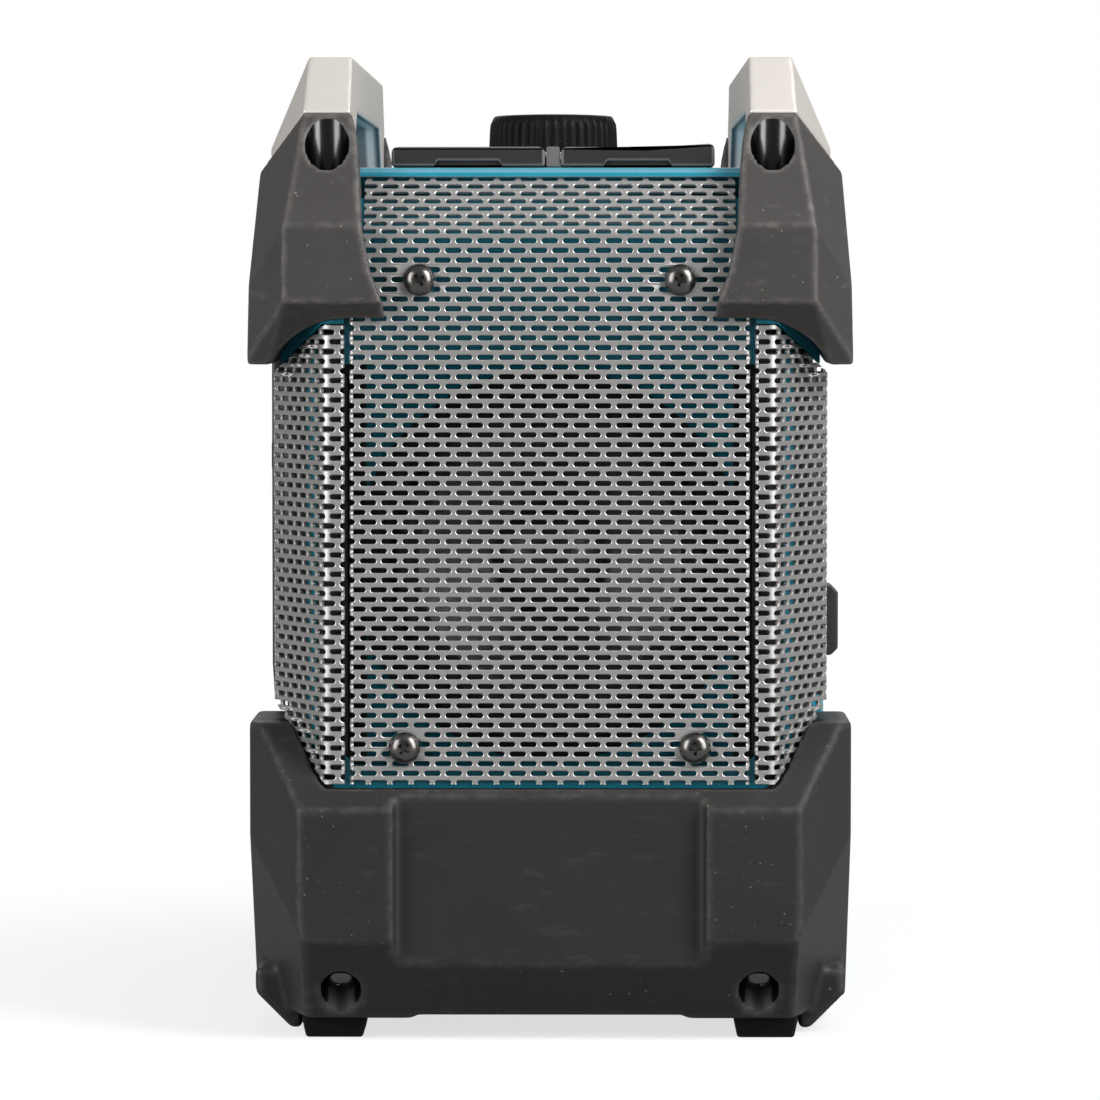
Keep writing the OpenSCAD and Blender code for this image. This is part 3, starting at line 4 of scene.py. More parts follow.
import bmesh
import bpy
import numpy as np
from bpy.props import FloatProperty, FloatVectorProperty, IntProperty, PointerProperty
from mathutils import Matrix, Vector

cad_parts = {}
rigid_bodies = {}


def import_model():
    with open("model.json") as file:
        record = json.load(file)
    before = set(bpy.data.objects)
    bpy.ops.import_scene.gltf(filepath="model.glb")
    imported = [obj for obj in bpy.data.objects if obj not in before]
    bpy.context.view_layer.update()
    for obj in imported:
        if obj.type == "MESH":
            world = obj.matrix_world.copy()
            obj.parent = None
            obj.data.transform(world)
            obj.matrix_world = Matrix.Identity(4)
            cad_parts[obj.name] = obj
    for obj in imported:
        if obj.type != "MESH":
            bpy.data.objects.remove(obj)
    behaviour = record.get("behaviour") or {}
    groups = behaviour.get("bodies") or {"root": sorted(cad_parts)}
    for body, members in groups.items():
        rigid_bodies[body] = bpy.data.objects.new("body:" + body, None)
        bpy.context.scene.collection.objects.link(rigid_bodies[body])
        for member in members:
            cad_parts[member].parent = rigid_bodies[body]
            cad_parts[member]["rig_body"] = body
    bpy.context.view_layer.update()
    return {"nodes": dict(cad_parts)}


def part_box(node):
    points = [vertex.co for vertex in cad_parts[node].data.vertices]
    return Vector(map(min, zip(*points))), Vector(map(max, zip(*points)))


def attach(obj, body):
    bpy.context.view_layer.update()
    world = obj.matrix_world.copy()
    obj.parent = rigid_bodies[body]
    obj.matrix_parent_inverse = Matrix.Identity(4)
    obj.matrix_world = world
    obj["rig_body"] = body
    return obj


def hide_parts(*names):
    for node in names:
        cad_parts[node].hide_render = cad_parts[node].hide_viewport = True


bl_info = {
    "name": "Jobsite Radio",
    "version": (1, 0, 0),
    "blender": (4, 5, 0),
    "location": "View3D > Sidebar > Radio",
    "description": "Dresses the frame of a jobsite radio with sheets, rubber, metal and finishes",
    "category": "Object",
}

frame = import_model()
NODES = frame["nodes"]
MM = 0.001


def low(node):
    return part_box(node)[0]


def high(node):
    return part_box(node)[1]


# Planes of the body, read from the frame
GRILLE_X = high("right_end_grille").x
GRILLE_HALF = high("right_end_grille").y
GRILLE_Z0 = low("right_end_grille").z
GRILLE_Z1 = high("right_end_grille").z
SPEAKER_Z = (low("speaker_cones").z + high("speaker_cones").z) / 2
STRIP_Y = -low("front_right_corner_grille").y
STRIP_X = low("front_right_corner_grille").x
RAIL_Y = -high("front_right_corner_grille").y
CORNER_Z1 = high("front_right_corner_grille").z
HOUSING_Y = -min(v.co.y for v in NODES["front_housing"].data.vertices if v.co.z < SPEAKER_Z)
HALFWAY_Z = high("front_handle").z / 2

# A corner grille bends at BEND_Y, and its slanting edges rise and drop this much beyond the bend
BEND_Y = 61.4 * MM
CORNER_DROP = 13.2 * MM
CORNER_RISE = 21 * MM
# The walls behind the end grilles, which get painted shade, lie beyond this plane
END_WALL_X = 119 * MM
# Distances from the middle where the blue stripe behind a corner grille starts and ends
STRIPE_START = (63.6 * MM, 64.3 * MM)
STRIPE_END = (66.4 * MM, 67.4 * MM)
# Radius of the edges of the sheets that turn in to the housing
ROLL = 1.1 * MM
# Where an end grille's two right-hand screws stand on its flat sheet. The sheet round a screw has no
# slots within SCREW_CLEAR, and is pressed in within PRESS_RADIUS.
GRILLE_SCREWS = ((35.4 * MM, 207.7 * MM, 0), (39.5 * MM, 80.6 * MM, 0))
SCREW_CLEAR = 4.3 * MM
PRESS_DEPTH = 0.75 * MM
PRESS_RADIUS = 7.6 * MM
# Lean of the screw recesses from the floor's plane, and height of a screw's head
RECESS_STEEP = math.radians(70)
HEAD_H = 2.8 * MM
# Mouth, lean and radius of the upper and lower screw recesses
RECESSES = (((128.27 * MM, 60.5 * MM, 244.9 * MM), RECESS_STEEP, 5.9 * MM),
            ((132.3 * MM, 57 * MM, 12.9 * MM), -RECESS_STEEP, 5.4 * MM))
# Corners that are mirrored from the front right one, with the mirror's signs
CORNERS = (("front_left", -1, 1), ("rear_right", 1, -1), ("rear_left", -1, -1))
BUTTONS = tuple(name + "_button" for name in (
    "power", "source", "tune_down", "tune_up", "menu", "preset_1", "preset_2"))


# ---------------------------------------------------------------- sizes and colours
def size_prop(name, description, default):
    return FloatProperty(name=name, description=description, default=default, unit="LENGTH")


def angle_prop(name, description, degrees):
    return FloatProperty(name=name, description=description, default=math.radians(degrees),
                         subtype="ANGLE")


def colour_prop(name, description, *rgb):
    return FloatVectorProperty(name=name, description=description, default=rgb + (1,), subtype="COLOR",
                               size=4)


class RadioSheets(bpy.types.PropertyGroup):
    slot_length: size_prop("Slot length", "Length of a slot in the punched sheets", 4.45 * MM)
    slot_width: size_prop("Slot width", "Width of a slot in the punched sheets", 1.36 * MM)
    slot_pitch: size_prop("Slot pitch", "Distance between slots in a row", 5.8 * MM)
    row_pitch: size_prop("Row pitch", "Distance between rows of slots", 2.63 * MM)
    thickness: size_prop("Thickness", "Thickness of the punched sheets", 0.9 * MM)
    edge_round: size_prop("Slot edge", "Rounding of a slot's edge", 0.24 * MM)
    lean: angle_prop("Lean", "Lean of the top of the end grilles", 38.8)
    lean_z: size_prop("Lean height", "Height where the end grilles lean inwards", 220.7 * MM)
    corner_turn: angle_prop("Corner turn", "Turn of a corner grille's face from the end face", 63)
    bend_radius: size_prop("Bend radius", "Radius of the bend in a corner grille", 4.0 * MM)


class RadioColours(bpy.types.PropertyGroup):
    housing: colour_prop("Housing", "Colour of the moulded housing", 0.004, 0.19, 0.27)
    rubber: colour_prop("Rubber", "Colour of the bumpers and boots", 0.024, 0.0225, 0.0215)
    plastic: colour_prop("Black plastic", "Colour of the black mouldings", 0.011, 0.011, 0.011)
    sheet: colour_prop("Punched sheet", "Colour of the coated steel sheets", 0.332, 0.328, 0.322)
    handle: colour_prop("Handles", "Colour of the handle bars", 0.64, 0.605, 0.565)


class RadioEdges(bpy.types.PropertyGroup):
    bumper: size_prop("Bumper mesh", "Face size of the bumpers, which sets their rounding", 0.7 * MM)
    boot: size_prop("Boot mesh", "Face size of the boots, which sets their rounding", 0.95 * MM)
    handle: size_prop("Handle mesh", "Face size of the handles, which sets their rounding", 0.6 * MM)
    button: size_prop("Button mesh", "Face size of the buttons, which sets their rounding", 0.42 * MM)
    passes: IntProperty(name="Passes", description="Smoothing passes over the large pieces",
                        default=5, min=1)
    button_passes: IntProperty(name="Button passes", description="Smoothing passes over the buttons",
                               default=3, min=1)


class RadioStudio(bpy.types.PropertyGroup):
    camera_x: size_prop("Camera distance", "Distance of the camera along X", 1.641)
    camera_y: size_prop("Camera side", "Place of the camera along Y", 12 * MM)
    camera_z: size_prop("Camera height", "Height of the camera", 207.7 * MM)
    pan: angle_prop("Pan", "Turn of the camera towards the radio's front", 0.453)
    tilt: angle_prop("Tilt", "Turn of the camera towards the floor", 2.78)
    lens: FloatProperty(name="Lens", description="Focal length of the camera", default=181.96,
                        subtype="DISTANCE_CAMERA")
    fill: FloatProperty(name="Fill light", description="Strength of the even light from all round",
                        default=0.2, min=0)


# ---------------------------------------------------------------- node trees
class Sig:
    """One output of a node tree. Arithmetic on it adds Math nodes."""

    def __init__(self, tree, socket):
        self.tree = tree
        self.socket = socket

    def __add__(self, other):
        return self.tree.fn("ADD", self, other)

    def __radd__(self, other):
        return self.tree.fn("ADD", other, self)

    def __sub__(self, other):
        return self.tree.fn("SUBTRACT", self, other)

    def __rsub__(self, other):
        return self.tree.fn("SUBTRACT", other, self)

    def __mul__(self, other):
        return self.tree.fn("MULTIPLY", self, other)

    def __rmul__(self, other):
        return self.tree.fn("MULTIPLY", other, self)

    def __truediv__(self, other):
        return self.tree.fn("DIVIDE", self, other)

    def __rtruediv__(self, other):
        return self.tree.fn("DIVIDE", other, self)

    def __lt__(self, other):
        return self.tree.fn("LESS_THAN", self, other)

    def __gt__(self, other):
        return self.tree.fn("GREATER_THAN", self, other)


class Tree:
    """Adds nodes to a shader or geometry tree and joins them."""

    def __init__(self, tree):
        self.tree = tree

    def node(self, kind, settings=None, values=None, output=0):
        """A node of this kind. Settings come first, then its sockets' values or links."""
        made = self.tree.nodes.new(kind)
        for name, value in (settings or {}).items():
            setattr(made, name, value)
        pairs = values.items() if isinstance(values, dict) else enumerate(values or [])
        for key, value in pairs:
            socket = made.inputs[key]
            if isinstance(value, Sig):
                self.tree.links.new(value.socket, socket)
            elif value is not None:
                socket.default_value = value
        return Sig(self, made.outputs[output])

    def other(self, sig, output):
        """Another output of the node that a value came from."""
        return Sig(self, sig.socket.node.outputs[output])

    def fn(self, operation, *values):
        """A Math node's value."""
        return self.node("ShaderNodeMath", {"operation": operation}, list(values))

    def vec(self, operation, *values, output=0):
        """A Vector Math node's vector, or its value with output=1."""
        return self.node("ShaderNodeVectorMath", {"operation": operation}, list(values), output)

    def scaled(self, vector, factor):
        """A vector made longer or shorter."""
        return self.node("ShaderNodeVectorMath", {"operation": "SCALE"}, {0: vector, "Scale": factor})

    def clamp(self, value, least, most):
        return self.fn("MINIMUM", self.fn("MAXIMUM", value, least), most)

    def vector(self, x=0.0, y=0.0, z=0.0):
        return self.node("ShaderNodeCombineXYZ", None, [x, y, z])

    def parts(self, vector):
        """A vector's x, y and z."""
        made = self.node("ShaderNodeSeparateXYZ", None, [vector])
        return made, self.other(made, 1), self.other(made, 2)

    def mix(self, factor, first, second):
        """A colour between two colours."""
        return self.node("ShaderNodeMix", {"data_type": "RGBA"}, {0: factor, 6: first, 7: second}, 2)

    def moved(self, geometry, offset, selection=None):
        """A geometry with all its points moved, or the selected ones."""
        return self.node("GeometryNodeSetPosition", None, {
            "Geometry": geometry, "Selection": selection, "Offset": offset})

    def join(self, *parts):
        """One geometry from several."""
        made = self.tree.nodes.new("GeometryNodeJoinGeometry")
        for part in parts:
            self.tree.links.new(part.socket, made.inputs[0])
        return Sig(self, made.outputs[0])


# ---------------------------------------------------------------- finishes
class Finish(Tree):
    """A Principled material under construction."""

    def __init__(self, name):
        self.material = bpy.data.materials.new(name)
        self.material.use_nodes = True
        super().__init__(self.material.node_tree)
        self.shader = self.tree.nodes["Principled BSDF"]
        self.place = self.node("ShaderNodeTexCoord", None, None, 3)

    def set(self, **sockets):
        """Sets or links the shader's sockets, which are named with _ for a space."""
        for name, value in sockets.items():
            socket = self.shader.inputs[name.replace("_", " ")]
            if isinstance(value, Sig):
                self.tree.links.new(value.socket, socket)
            else:
                socket.default_value = value

    def noise(self, size, detail=2.0, roughness=0.5, stretch=None, seed=0.0):
        """Noise from 0 to 1 whose blotches are about `size` metres across."""
        place = self.place
        if stretch or seed:
            place = self.node("ShaderNodeMapping", None, {
                "Vector": place, "Location": (seed, seed * 0.7, -seed), "Scale": stretch or (1, 1, 1)})
        return self.node("ShaderNodeTexNoise", None, {
            "Vector": place, "Scale": 1 / size, "Detail": detail, "Roughness": roughness})

    def band(self, value, start, stop):
        """0 below start, 1 above stop, smooth between."""
        return self.node("ShaderNodeMapRange", {"interpolation_type": "SMOOTHSTEP"}, {
            0: value, 1: start, 2: stop, 3: 0.0, 4: 1.0})

    def marked(self, name):
        """The value from 0 to 1 that a mesh keeps under this name."""
        return self.node("ShaderNodeAttribute", {"attribute_name": name}, None, 2)

    def from_speaker(self):
        """Distance from the speakers' axis."""
        x, y, z = self.parts(self.place)
        up = z - SPEAKER_Z
        return self.fn("SQRT", y * y + up * up)

    def specks(self, size, share, seed=0.0):
        """Small round spots, one in some of the cells of this size."""
        place = self.node("ShaderNodeMapping", None, {
            "Vector": self.place, "Location": (seed, -seed, seed * 0.5)})
        cells = self.node("ShaderNodeTexVoronoi", None, {"Vector": place, "Scale": 1 / size})
        pick = self.node("ShaderNodeSeparateColor", None, [self.other(cells, 1)])
        return (1 - self.band(cells, 0.06, 0.16)) * (pick < share)

    def blend(self, factor, first, second):
        """A vector between two vectors."""
        return self.node("ShaderNodeMix", {"data_type": "VECTOR"}, {0: factor, 4: first, 5: second}, 1)

    def recesses(self):
        """1 on the walls of the screw recesses and 0 elsewhere, and the level way to a recess's axis."""
        x, y, z = self.parts(self.place)
        here = self.vector(self.fn("ABSOLUTE", x), self.fn("ABSOLUTE", y), z)
        inside = level = None
        for mouth, steep, radius in RECESSES:
            away = self.vec("SUBTRACT", here, mouth)
            axis = (math.cos(steep), 0, math.sin(steep))
            along = self.vec("DOT_PRODUCT", away, axis, output=1)
            inwards = self.vec("SUBTRACT", self.scaled(axis, along), away)
            near = self.vec("LENGTH", inwards, output=1) < radius + 0.12 * MM
            level = inwards if inside is None else self.blend(near, level, inwards)
            inside = near if inside is None else self.fn("MAXIMUM", inside, near)
        sides = self.vector(self.fn("SIGN", x), self.fn("SIGN", y), 0.0)
        return inside, self.vec("NORMALIZE", self.vec("MULTIPLY", level, sides))

    def bump(self, height, strength, distance):
        """Raises the surface's shading by a height from 0 to 1 of this distance."""
        bumped = self.node("ShaderNodeBump", None, {
            "Strength": strength, "Distance": distance, "Height": height})
        self.set(Normal=bumped)
        return bumped

    def behind_corners(self):
        """1 where the housing is dark behind the corner sheets, 0 elsewhere."""
        x, y, z = self.parts(self.place)
        along, out = self.fn("ABSOLUTE", x), self.fn("ABSOLUTE", y)
        share = self.clamp((out - BEND_Y) / (STRIP_Y - BEND_Y), 0.0, 1.0)
        under = z < CORNER_Z1 + 0.2 * MM - share * CORNER_DROP
        stripe = self.band(out, *STRIPE_START) * (1 - self.band(out, *STRIPE_END))
        beside = (along > STRIP_X + 1 * MM) * (out > RAIL_Y - 1 * MM)
        return under * (z > GRILLE_Z0) * beside * (1 - stripe)

    def painted_shade_behind_ends(self):
        """1 on the walls behind the end grilles, where painted shade darkens them, 0 elsewhere."""
        x, y, z = self.parts(self.place)
        along, out = self.fn("ABSOLUTE", x), self.fn("ABSOLUTE", y)
        return (along > END_WALL_X) * (out < RAIL_Y + 2 * MM) * (z > GRILLE_Z0) * (z < GRILLE_Z1 - 0.5 * MM)


def shade(colour, factor):
    """A colour made darker or lighter."""
    return tuple(min(1.0, c * factor) for c in colour[:3]) + (1,)


def moulded(name, colour, rough=0.42, grain=0.35 * MM, grain_height=0.03 * MM, specular=0.5, edge=0.0,
            dark_behind_sheets=None):
    """Grained moulded plastic with slow changes of colour and sheen, and paler edges as a painted
    highlight.

    With a colour for behind the sheets, it has that colour behind the corner sheets and painted shade
    behind the end grilles."""
    f = Finish(name)
    slow = f.noise(0.03, 3)
    fine = f.noise(grain, 3, 0.6)
    body = f.mix(slow, shade(colour, 0.85), shade(colour, 1.18))
    if dark_behind_sheets:
        # painted shade: the walls behind the end grilles are darkened to stand for the shade there
        body = f.mix(f.painted_shade_behind_ends(), body, shade(colour, 0.58))
        # the housing is given a dark colour behind the corner sheets
        body = f.mix(f.behind_corners(), body, dark_behind_sheets)
    if edge:
        # painted highlight: rounded edges are made paler and greyer to stand for the light they catch
        grey, share = 0.3, 0.34
        edge_highlight = tuple(c + (grey - c) * share for c in colour[:3]) + (1,)
        body = f.mix(f.marked("edge_wear_and_sheen") * (0.7 + slow * 0.3) * edge, body, edge_highlight)
    f.set(Base_Color=body, Roughness=rough - 0.06 + slow * 0.08 + fine * 0.06,
          Specular_IOR_Level=specular)
    f.bump(fine, 0.55, grain_height)
    return f.material


def rubber(name, colour, rough=0.5, specular=0.35, polish=False):
    """Matte rubber with a fine skin, worn edges, faint scuffs and specks of dust.

    With polish, the walls of the screw recesses are glossy."""
    f = Finish(name)
    slow = f.noise(0.025, 4, 0.55)
    fine = f.noise(0.5 * MM, 3, 0.6)
    edge_wear_and_sheen = f.marked("edge_wear_and_sheen")
    scuff = f.band(f.noise(0.012, 5, 0.65, (1, 1, 3), 3.1), 0.56, 0.74)
    rub = edge_wear_and_sheen * (0.3 + f.band(f.noise(3 * MM, 4, 0.6, None, 1.3), 0.35, 0.7) * 0.7)
    dust = f.specks(2.2 * MM, 0.05) + f.specks(3.4 * MM, 0.06, 7.3) * 0.8
    dust = dust + edge_wear_and_sheen * f.specks(1.1 * MM, 0.25, 2.2) + f.specks(1.7 * MM, 0.03, 5.1) * 0.7
    dust = f.clamp(dust, 0.0, 1.0)
    body = f.mix(slow, shade(colour, 0.86), shade(colour, 1.2))
    body = f.mix(f.clamp(scuff * 0.3 + rub * 0.7, 0.0, 1.0), body, shade(colour, 2.8))
    body = f.mix(dust * 0.45, body, (0.26, 0.245, 0.22, 1))
    roughness = f.clamp(rough - 0.05 + slow * 0.1 + scuff * 0.1 + dust * 0.25, 0.0, 1.0)
    f.set(Base_Color=body, Roughness=roughness, Specular_IOR_Level=specular)
    skin = f.bump(fine + dust * 0.6, 0.6, 0.035 * MM)
    if polish:
        # the recesses' glossy walls mirror the lights at the sides
        bore, level = f.recesses()
        gloss = roughness * (1 - bore) + bore * (0.2 + fine * 0.06)
        f.set(Base_Color=f.mix(bore, body, (0.055, 0.055, 0.057, 1)), Metallic=bore, Roughness=gloss,
              Normal=f.blend(bore, skin, level))
    return f.material


def coated_sheet(name, colour):
    """Silver coated steel with a fine metallic grain."""
    f = Finish(name)
    slow = f.noise(0.02, 3)
    grain = f.noise(0.28 * MM, 2, 0.7)
    flake = f.noise(0.11 * MM, 1, 0.5, None, 4.4)
    f.set(Base_Color=f.mix(grain, shade(colour, 0.88), shade(colour, 1.12)), Metallic=0.72,
          Roughness=0.33 + slow * 0.05 + flake * 0.08)
    f.bump(grain, 0.25, 0.012 * MM)
    return f.material


def handle_metal(name, colour):
    """Brushed metal, with a painted reflection and a painted highlight on the wall inside the hand opening.
    """
    f = Finish(name)
    streaks = f.noise(0.2 * MM, 3, 0.6, (1, 0.03, 1))
    slow = f.noise(0.03, 3)
    inner = f.marked("inner")
    brushed = f.mix(streaks, shade(colour, 0.93), shade(colour, 1.05))
    x, y, z = f.parts(f.place)
    out = f.fn("ABSOLUTE", y)
    # across the bar, the wall is dark blue-grey as a painted reflection, has a bright stripe that is a
    # painted highlight, and is grey beyond it
    painted_highlight = f.band(out, 55.2 * MM, 57.0 * MM) * (1 - f.band(out, 58.0 * MM, 59.4 * MM))
    wall = f.mix(f.band(out, 57.5 * MM, 59.5 * MM), (0.1, 0.135, 0.16, 1), (0.26, 0.3, 0.33, 1))
    wall = f.mix(painted_highlight, wall, (0.95, 0.97, 0.98, 1))
    f.set(Base_Color=f.mix(inner, brushed, wall), Metallic=0.65 - inner * 0.4,
          Roughness=(0.4 + slow * 0.05 + streaks * 0.06) * (1 - inner) + inner * 0.3)
    f.bump(streaks, 0.18, 0.01 * MM)
    return f.material


def bright_steel(name, colour=(0.62, 0.61, 0.6, 1), rough=0.2):
    """Plated steel with fine turning marks."""
    f = Finish(name)
    fine = f.noise(0.3 * MM, 3, 0.6, (1, 1, 4))
    slow = f.noise(0.01, 2)
    f.set(Base_Color=f.mix(slow, shade(colour, 0.92), shade(colour, 1.06)), Metallic=1.0,
          Roughness=rough + fine * 0.08)
    f.bump(fine, 0.15, 0.01 * MM)
    return f.material


def black_steel(name):
    """Blackened screw steel, a little polished where a driver has touched it."""
    f = Finish(name)
    slow = f.noise(1.6 * MM, 4, 0.6)
    fine = f.noise(0.25 * MM, 2)
    f.set(Base_Color=f.mix(slow, (0.07, 0.067, 0.064, 1), (0.14, 0.134, 0.128, 1)), Metallic=1.0,
          Roughness=0.2 + slow * 0.12)
    f.bump(fine, 0.25, 0.01 * MM)
    return f.material


def baffle_finish(name, blue, black):
    """Blue moulding with a black ring round the speaker and black rails beside the grille."""
    f = Finish(name)
    x, y, z = f.parts(f.place)
    ring = 1 - f.band(f.from_speaker(), 53.2 * MM, 53.6 * MM)
    rails = f.band(f.fn("ABSOLUTE", y), 49.6 * MM, 50 * MM)
    dark = f.fn("MAXIMUM", ring, rails)
    slow = f.noise(0.02, 3)
    fine = f.noise(0.35 * MM, 3, 0.6)
    # the blue and black come in darkened, as painted shade
    f.set(Base_Color=f.mix(dark, f.mix(slow, shade(blue, 0.9), shade(blue, 1.15)), black),
          Roughness=0.42 + fine * 0.1, Specular_IOR_Level=0.12)
    f.bump(fine, 0.4, 0.03 * MM)
    return f.material


def paper_cone(name):
    """Coated paper with fine fibres and pressed rings."""
    f = Finish(name)
    ring_pitch = 3.1 * MM
    rings = f.fn("SINE", f.from_speaker() * (2 * math.pi / ring_pitch))
    fibre = f.noise(0.5 * MM, 4, 0.7, (1, 1, 2.5))
    slow = f.noise(0.01, 3)
    f.set(Base_Color=f.mix(fibre, (0.008, 0.008, 0.008, 1), (0.02, 0.02, 0.021, 1)),
          Roughness=0.3 + slow * 0.1, Specular_IOR_Level=0.6)
    f.bump(rings * 0.5 + fibre, 0.5, 0.06 * MM)
    return f.material


def circuit_board(name):
    """Green solder mask with fine tracks and tinned pads."""
    f = Finish(name)
    cells = f.node("ShaderNodeTexBrick", {"offset": 0.37}, {
        "Vector": f.place, "Scale": 260.0, "Mortar Size": 0.09, "Brick Width": 0.9, "Row Height": 0.3})
    track = f.other(cells, 1)
    pads = f.specks(3.2 * MM, 0.3, 1.7)
    mask = f.mix(track, (0.012, 0.085, 0.045, 1), (0.03, 0.16, 0.09, 1))
    f.set(Base_Color=f.mix(pads, mask, (0.55, 0.53, 0.5, 1)), Metallic=pads * 0.9,
          Roughness=0.35 - track * 0.08)
    f.bump(track, 0.4, 0.03 * MM)
    return f.material


def display_glass(name):
    """Tinted window with a faint even glow of the cells behind it."""
    f = Finish(name)
    x, y, z = f.parts(f.place)
    cell, line = 0.9 * MM, 0.06 * MM
    grid = f.fn("MAXIMUM", f.fn("PINGPONG", x, cell) < line, f.fn("PINGPONG", z, cell) < line)
    half_w, half_h = 26.5 * MM, 12.5 * MM
    middle = (low("display_window").z + high("display_window").z) / 2
    inside = (f.fn("ABSOLUTE", x) < half_w) * (f.fn("ABSOLUTE", z - middle) < half_h)
    smear = f.noise(0.02, 4)
    screen = f.mix(grid, (0.095, 0.12, 0.105, 1), (0.075, 0.095, 0.085, 1))
    f.set(Base_Color=f.mix(inside, (0.006, 0.006, 0.007, 1), screen), Roughness=0.05 + smear * 0.07,
          Coat_Weight=0.6)
    f.bump(smear, 0.05, 0.02 * MM)
    return f.material


# ---------------------------------------------------------------- shared making
def wear(node, material):
    """Gives a CAD node its finish."""
    slots = NODES[node].data.materials
    if not slots:
        slots.append(material)
    for i in range(len(slots)):
        slots[i] = material


def new_object(name, data):
    made = bpy.data.objects.new(name, data)
    bpy.context.scene.collection.objects.link(made)
    return made


def open_mesh(mesh, weld=0.0):
    """A bmesh of a mesh. Corners closer together than weld are merged."""
    work = bmesh.new()
    work.from_mesh(mesh)
    if weld:
        bmesh.ops.remove_doubles(work, verts=work.verts, dist=weld)
    return work


def close_mesh(work, mesh):
    """Writes a bmesh into a mesh and frees it."""
    work.to_mesh(mesh)
    work.free()
    return mesh


def mesh_from(work, name):
    """A new mesh from a bmesh, which is freed."""
    return close_mesh(work, bpy.data.meshes.new(name))


def add_box(mesh, size, middle):
    """Adds a box to a mesh."""
    work = open_mesh(mesh)
    for vert in bmesh.ops.create_cube(work, size=1)["verts"]:
        vert.co = Vector(middle) + Vector(a * b for a, b in zip(vert.co, size))
    close_mesh(work, mesh)


def tidy_faces(mesh):
    """Merges doubled corners and points every face outwards."""
    work = open_mesh(mesh, 2e-7)
    bmesh.ops.recalc_face_normals(work, faces=work.faces)
    close_mesh(work, mesh)


def baked(made):
    """The object's evaluated mesh, as a plain mesh with no modifier left on it."""
    bpy.context.view_layer.update()
    mesh = bpy.data.meshes.new_from_object(made.evaluated_get(bpy.context.evaluated_depsgraph_get()))
    made.modifiers.clear()
    made.data = mesh
    return mesh


def place_piece(made, node, material, sharp=40):
    """Finishes a piece that stands for a CAD node. With sharp=None its shading stays as it is."""
    mesh = made.data
    mesh.materials.clear()
    mesh.materials.append(material)
    for face in mesh.polygons:
        face.material_index = 0
    if sharp:
        for face in mesh.polygons:
            face.use_smooth = True
        mesh.set_sharp_from_angle(angle=math.radians(sharp))
    body = NODES[node]["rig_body"]
    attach(made, body)
    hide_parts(node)
    return made


def numbers(collection, name, width, kind=np.float64):
    """One property of a mesh's elements as an array."""
    values = np.empty(len(collection) * width, dtype=kind)
    collection.foreach_get(name, values)
    return values.reshape(-1, width)


def mark_worn(mesh, slight=0.10, full=0.42):
    """Gives each vertex worn = 0 to 1 by how sharply the surface bulges there, in 1/mm."""
    places = numbers(mesh.vertices, "co", 3)
    normals = numbers(mesh.vertices, "normal", 3)
    first, second = numbers(mesh.edges, "vertices", 2, np.int32).T
    along = places[second] - places[first]
    bulge = np.sum((normals[second] - normals[first]) * along, axis=1) / np.maximum(
        np.sum(along * along, axis=1), 1e-12) * MM
    most = np.zeros(len(places))
    np.maximum.at(most, first, bulge)
    np.maximum.at(most, second, bulge)
    edge_wear_and_sheen = mesh.attributes.new("edge_wear_and_sheen", "FLOAT", "POINT")
    edge_wear_and_sheen.data.foreach_set("value", np.clip((most - slight) / (full - slight), 0, 1).astype(np.float32))


def rounded(node, voxel, passes, keep=0.5):
    """A copy of a CAD node whose edges are all softened, from an even mesh that is smoothed."""
    mesh = NODES[node].data.copy()
    made = new_object("round_" + node, close_mesh(open_mesh(mesh, 1e-6), mesh))
    even = made.modifiers.new("Even mesh", "REMESH")
    even.mode = "VOXEL"
    even.voxel_size = voxel
    soft = made.modifiers.new("Rounding", "SMOOTH")
    soft.factor = 0.5
    soft.iterations = passes
    fewer = made.modifiers.new("Fewer faces", "DECIMATE")
    fewer.ratio = keep
    baked(made)
    mark_worn(made.data)
    return made


def softened(node, width, fine=0.3 * MM, segments=3, limit=24, outline=False):
    """A copy of a CAD node with flat faces joined and its edges rounded, or only its outermost edges.

    The rounded faces get 1 in an edge mark, shown as wear on rubber and as a painted highlight on moulded
    plastic. Other edges stay sharp."""
    mesh = NODES[node].data.copy()
    # the bevel gives the rounded faces the second slot
    mesh.materials.clear()
    mesh.materials.append(None)
    mesh.materials.append(None)
    work = open_mesh(mesh, 1e-6)
    bmesh.ops.dissolve_limit(work, angle_limit=math.radians(0.6), verts=work.verts, edges=work.edges)
    inner = set()
    if outline:
        hull = work.copy()
        hull.verts.index_update()
        found = bmesh.ops.convex_hull(hull, input=hull.verts)["geom_interior"]
        inner = {v.index for v in found if isinstance(v, bmesh.types.BMVert)}
        hull.free()
    weight = work.edges.layers.float.new("bevel_weight_edge")
    work.verts.index_update()
    for face in work.faces:
        face.smooth = True
    for edge in work.edges:
        if len(edge.link_faces) == 2 and edge.calc_face_angle() > math.radians(limit):
            if any(v.index in inner for v in edge.verts):
                edge.smooth = False
            else:
                edge[weight] = 1.0 if edge.calc_length() > 2.2 * width else fine / width
    made = new_object("soft_" + node, close_mesh(work, mesh))
    rounding = made.modifiers.new("Rounding", "BEVEL")
    rounding.width = width
    rounding.segments = segments
    rounding.limit_method = "WEIGHT"
    rounding.use_clamp_overlap = False
    rounding.miter_outer = "MITER_ARC"
    rounding.material = 1
    weighted = made.modifiers.new("Even shading", "WEIGHTED_NORMAL")
    weighted.keep_sharp = True
    mesh = baked(made)
    edge_wear_and_sheen = numbers(mesh.polygons, "material_index", 1, np.int32)[:, 0] == 1
    mesh.attributes.new("edge_wear_and_sheen", "FLOAT", "FACE").data.foreach_set("value", edge_wear_and_sheen.astype(np.float32))
    return made


def soft_piece(node, width, material, **settings):
    """Rounds a CAD node's edges and puts the copy in its place."""
    return place_piece(softened(node, width, **settings), node, material, None)


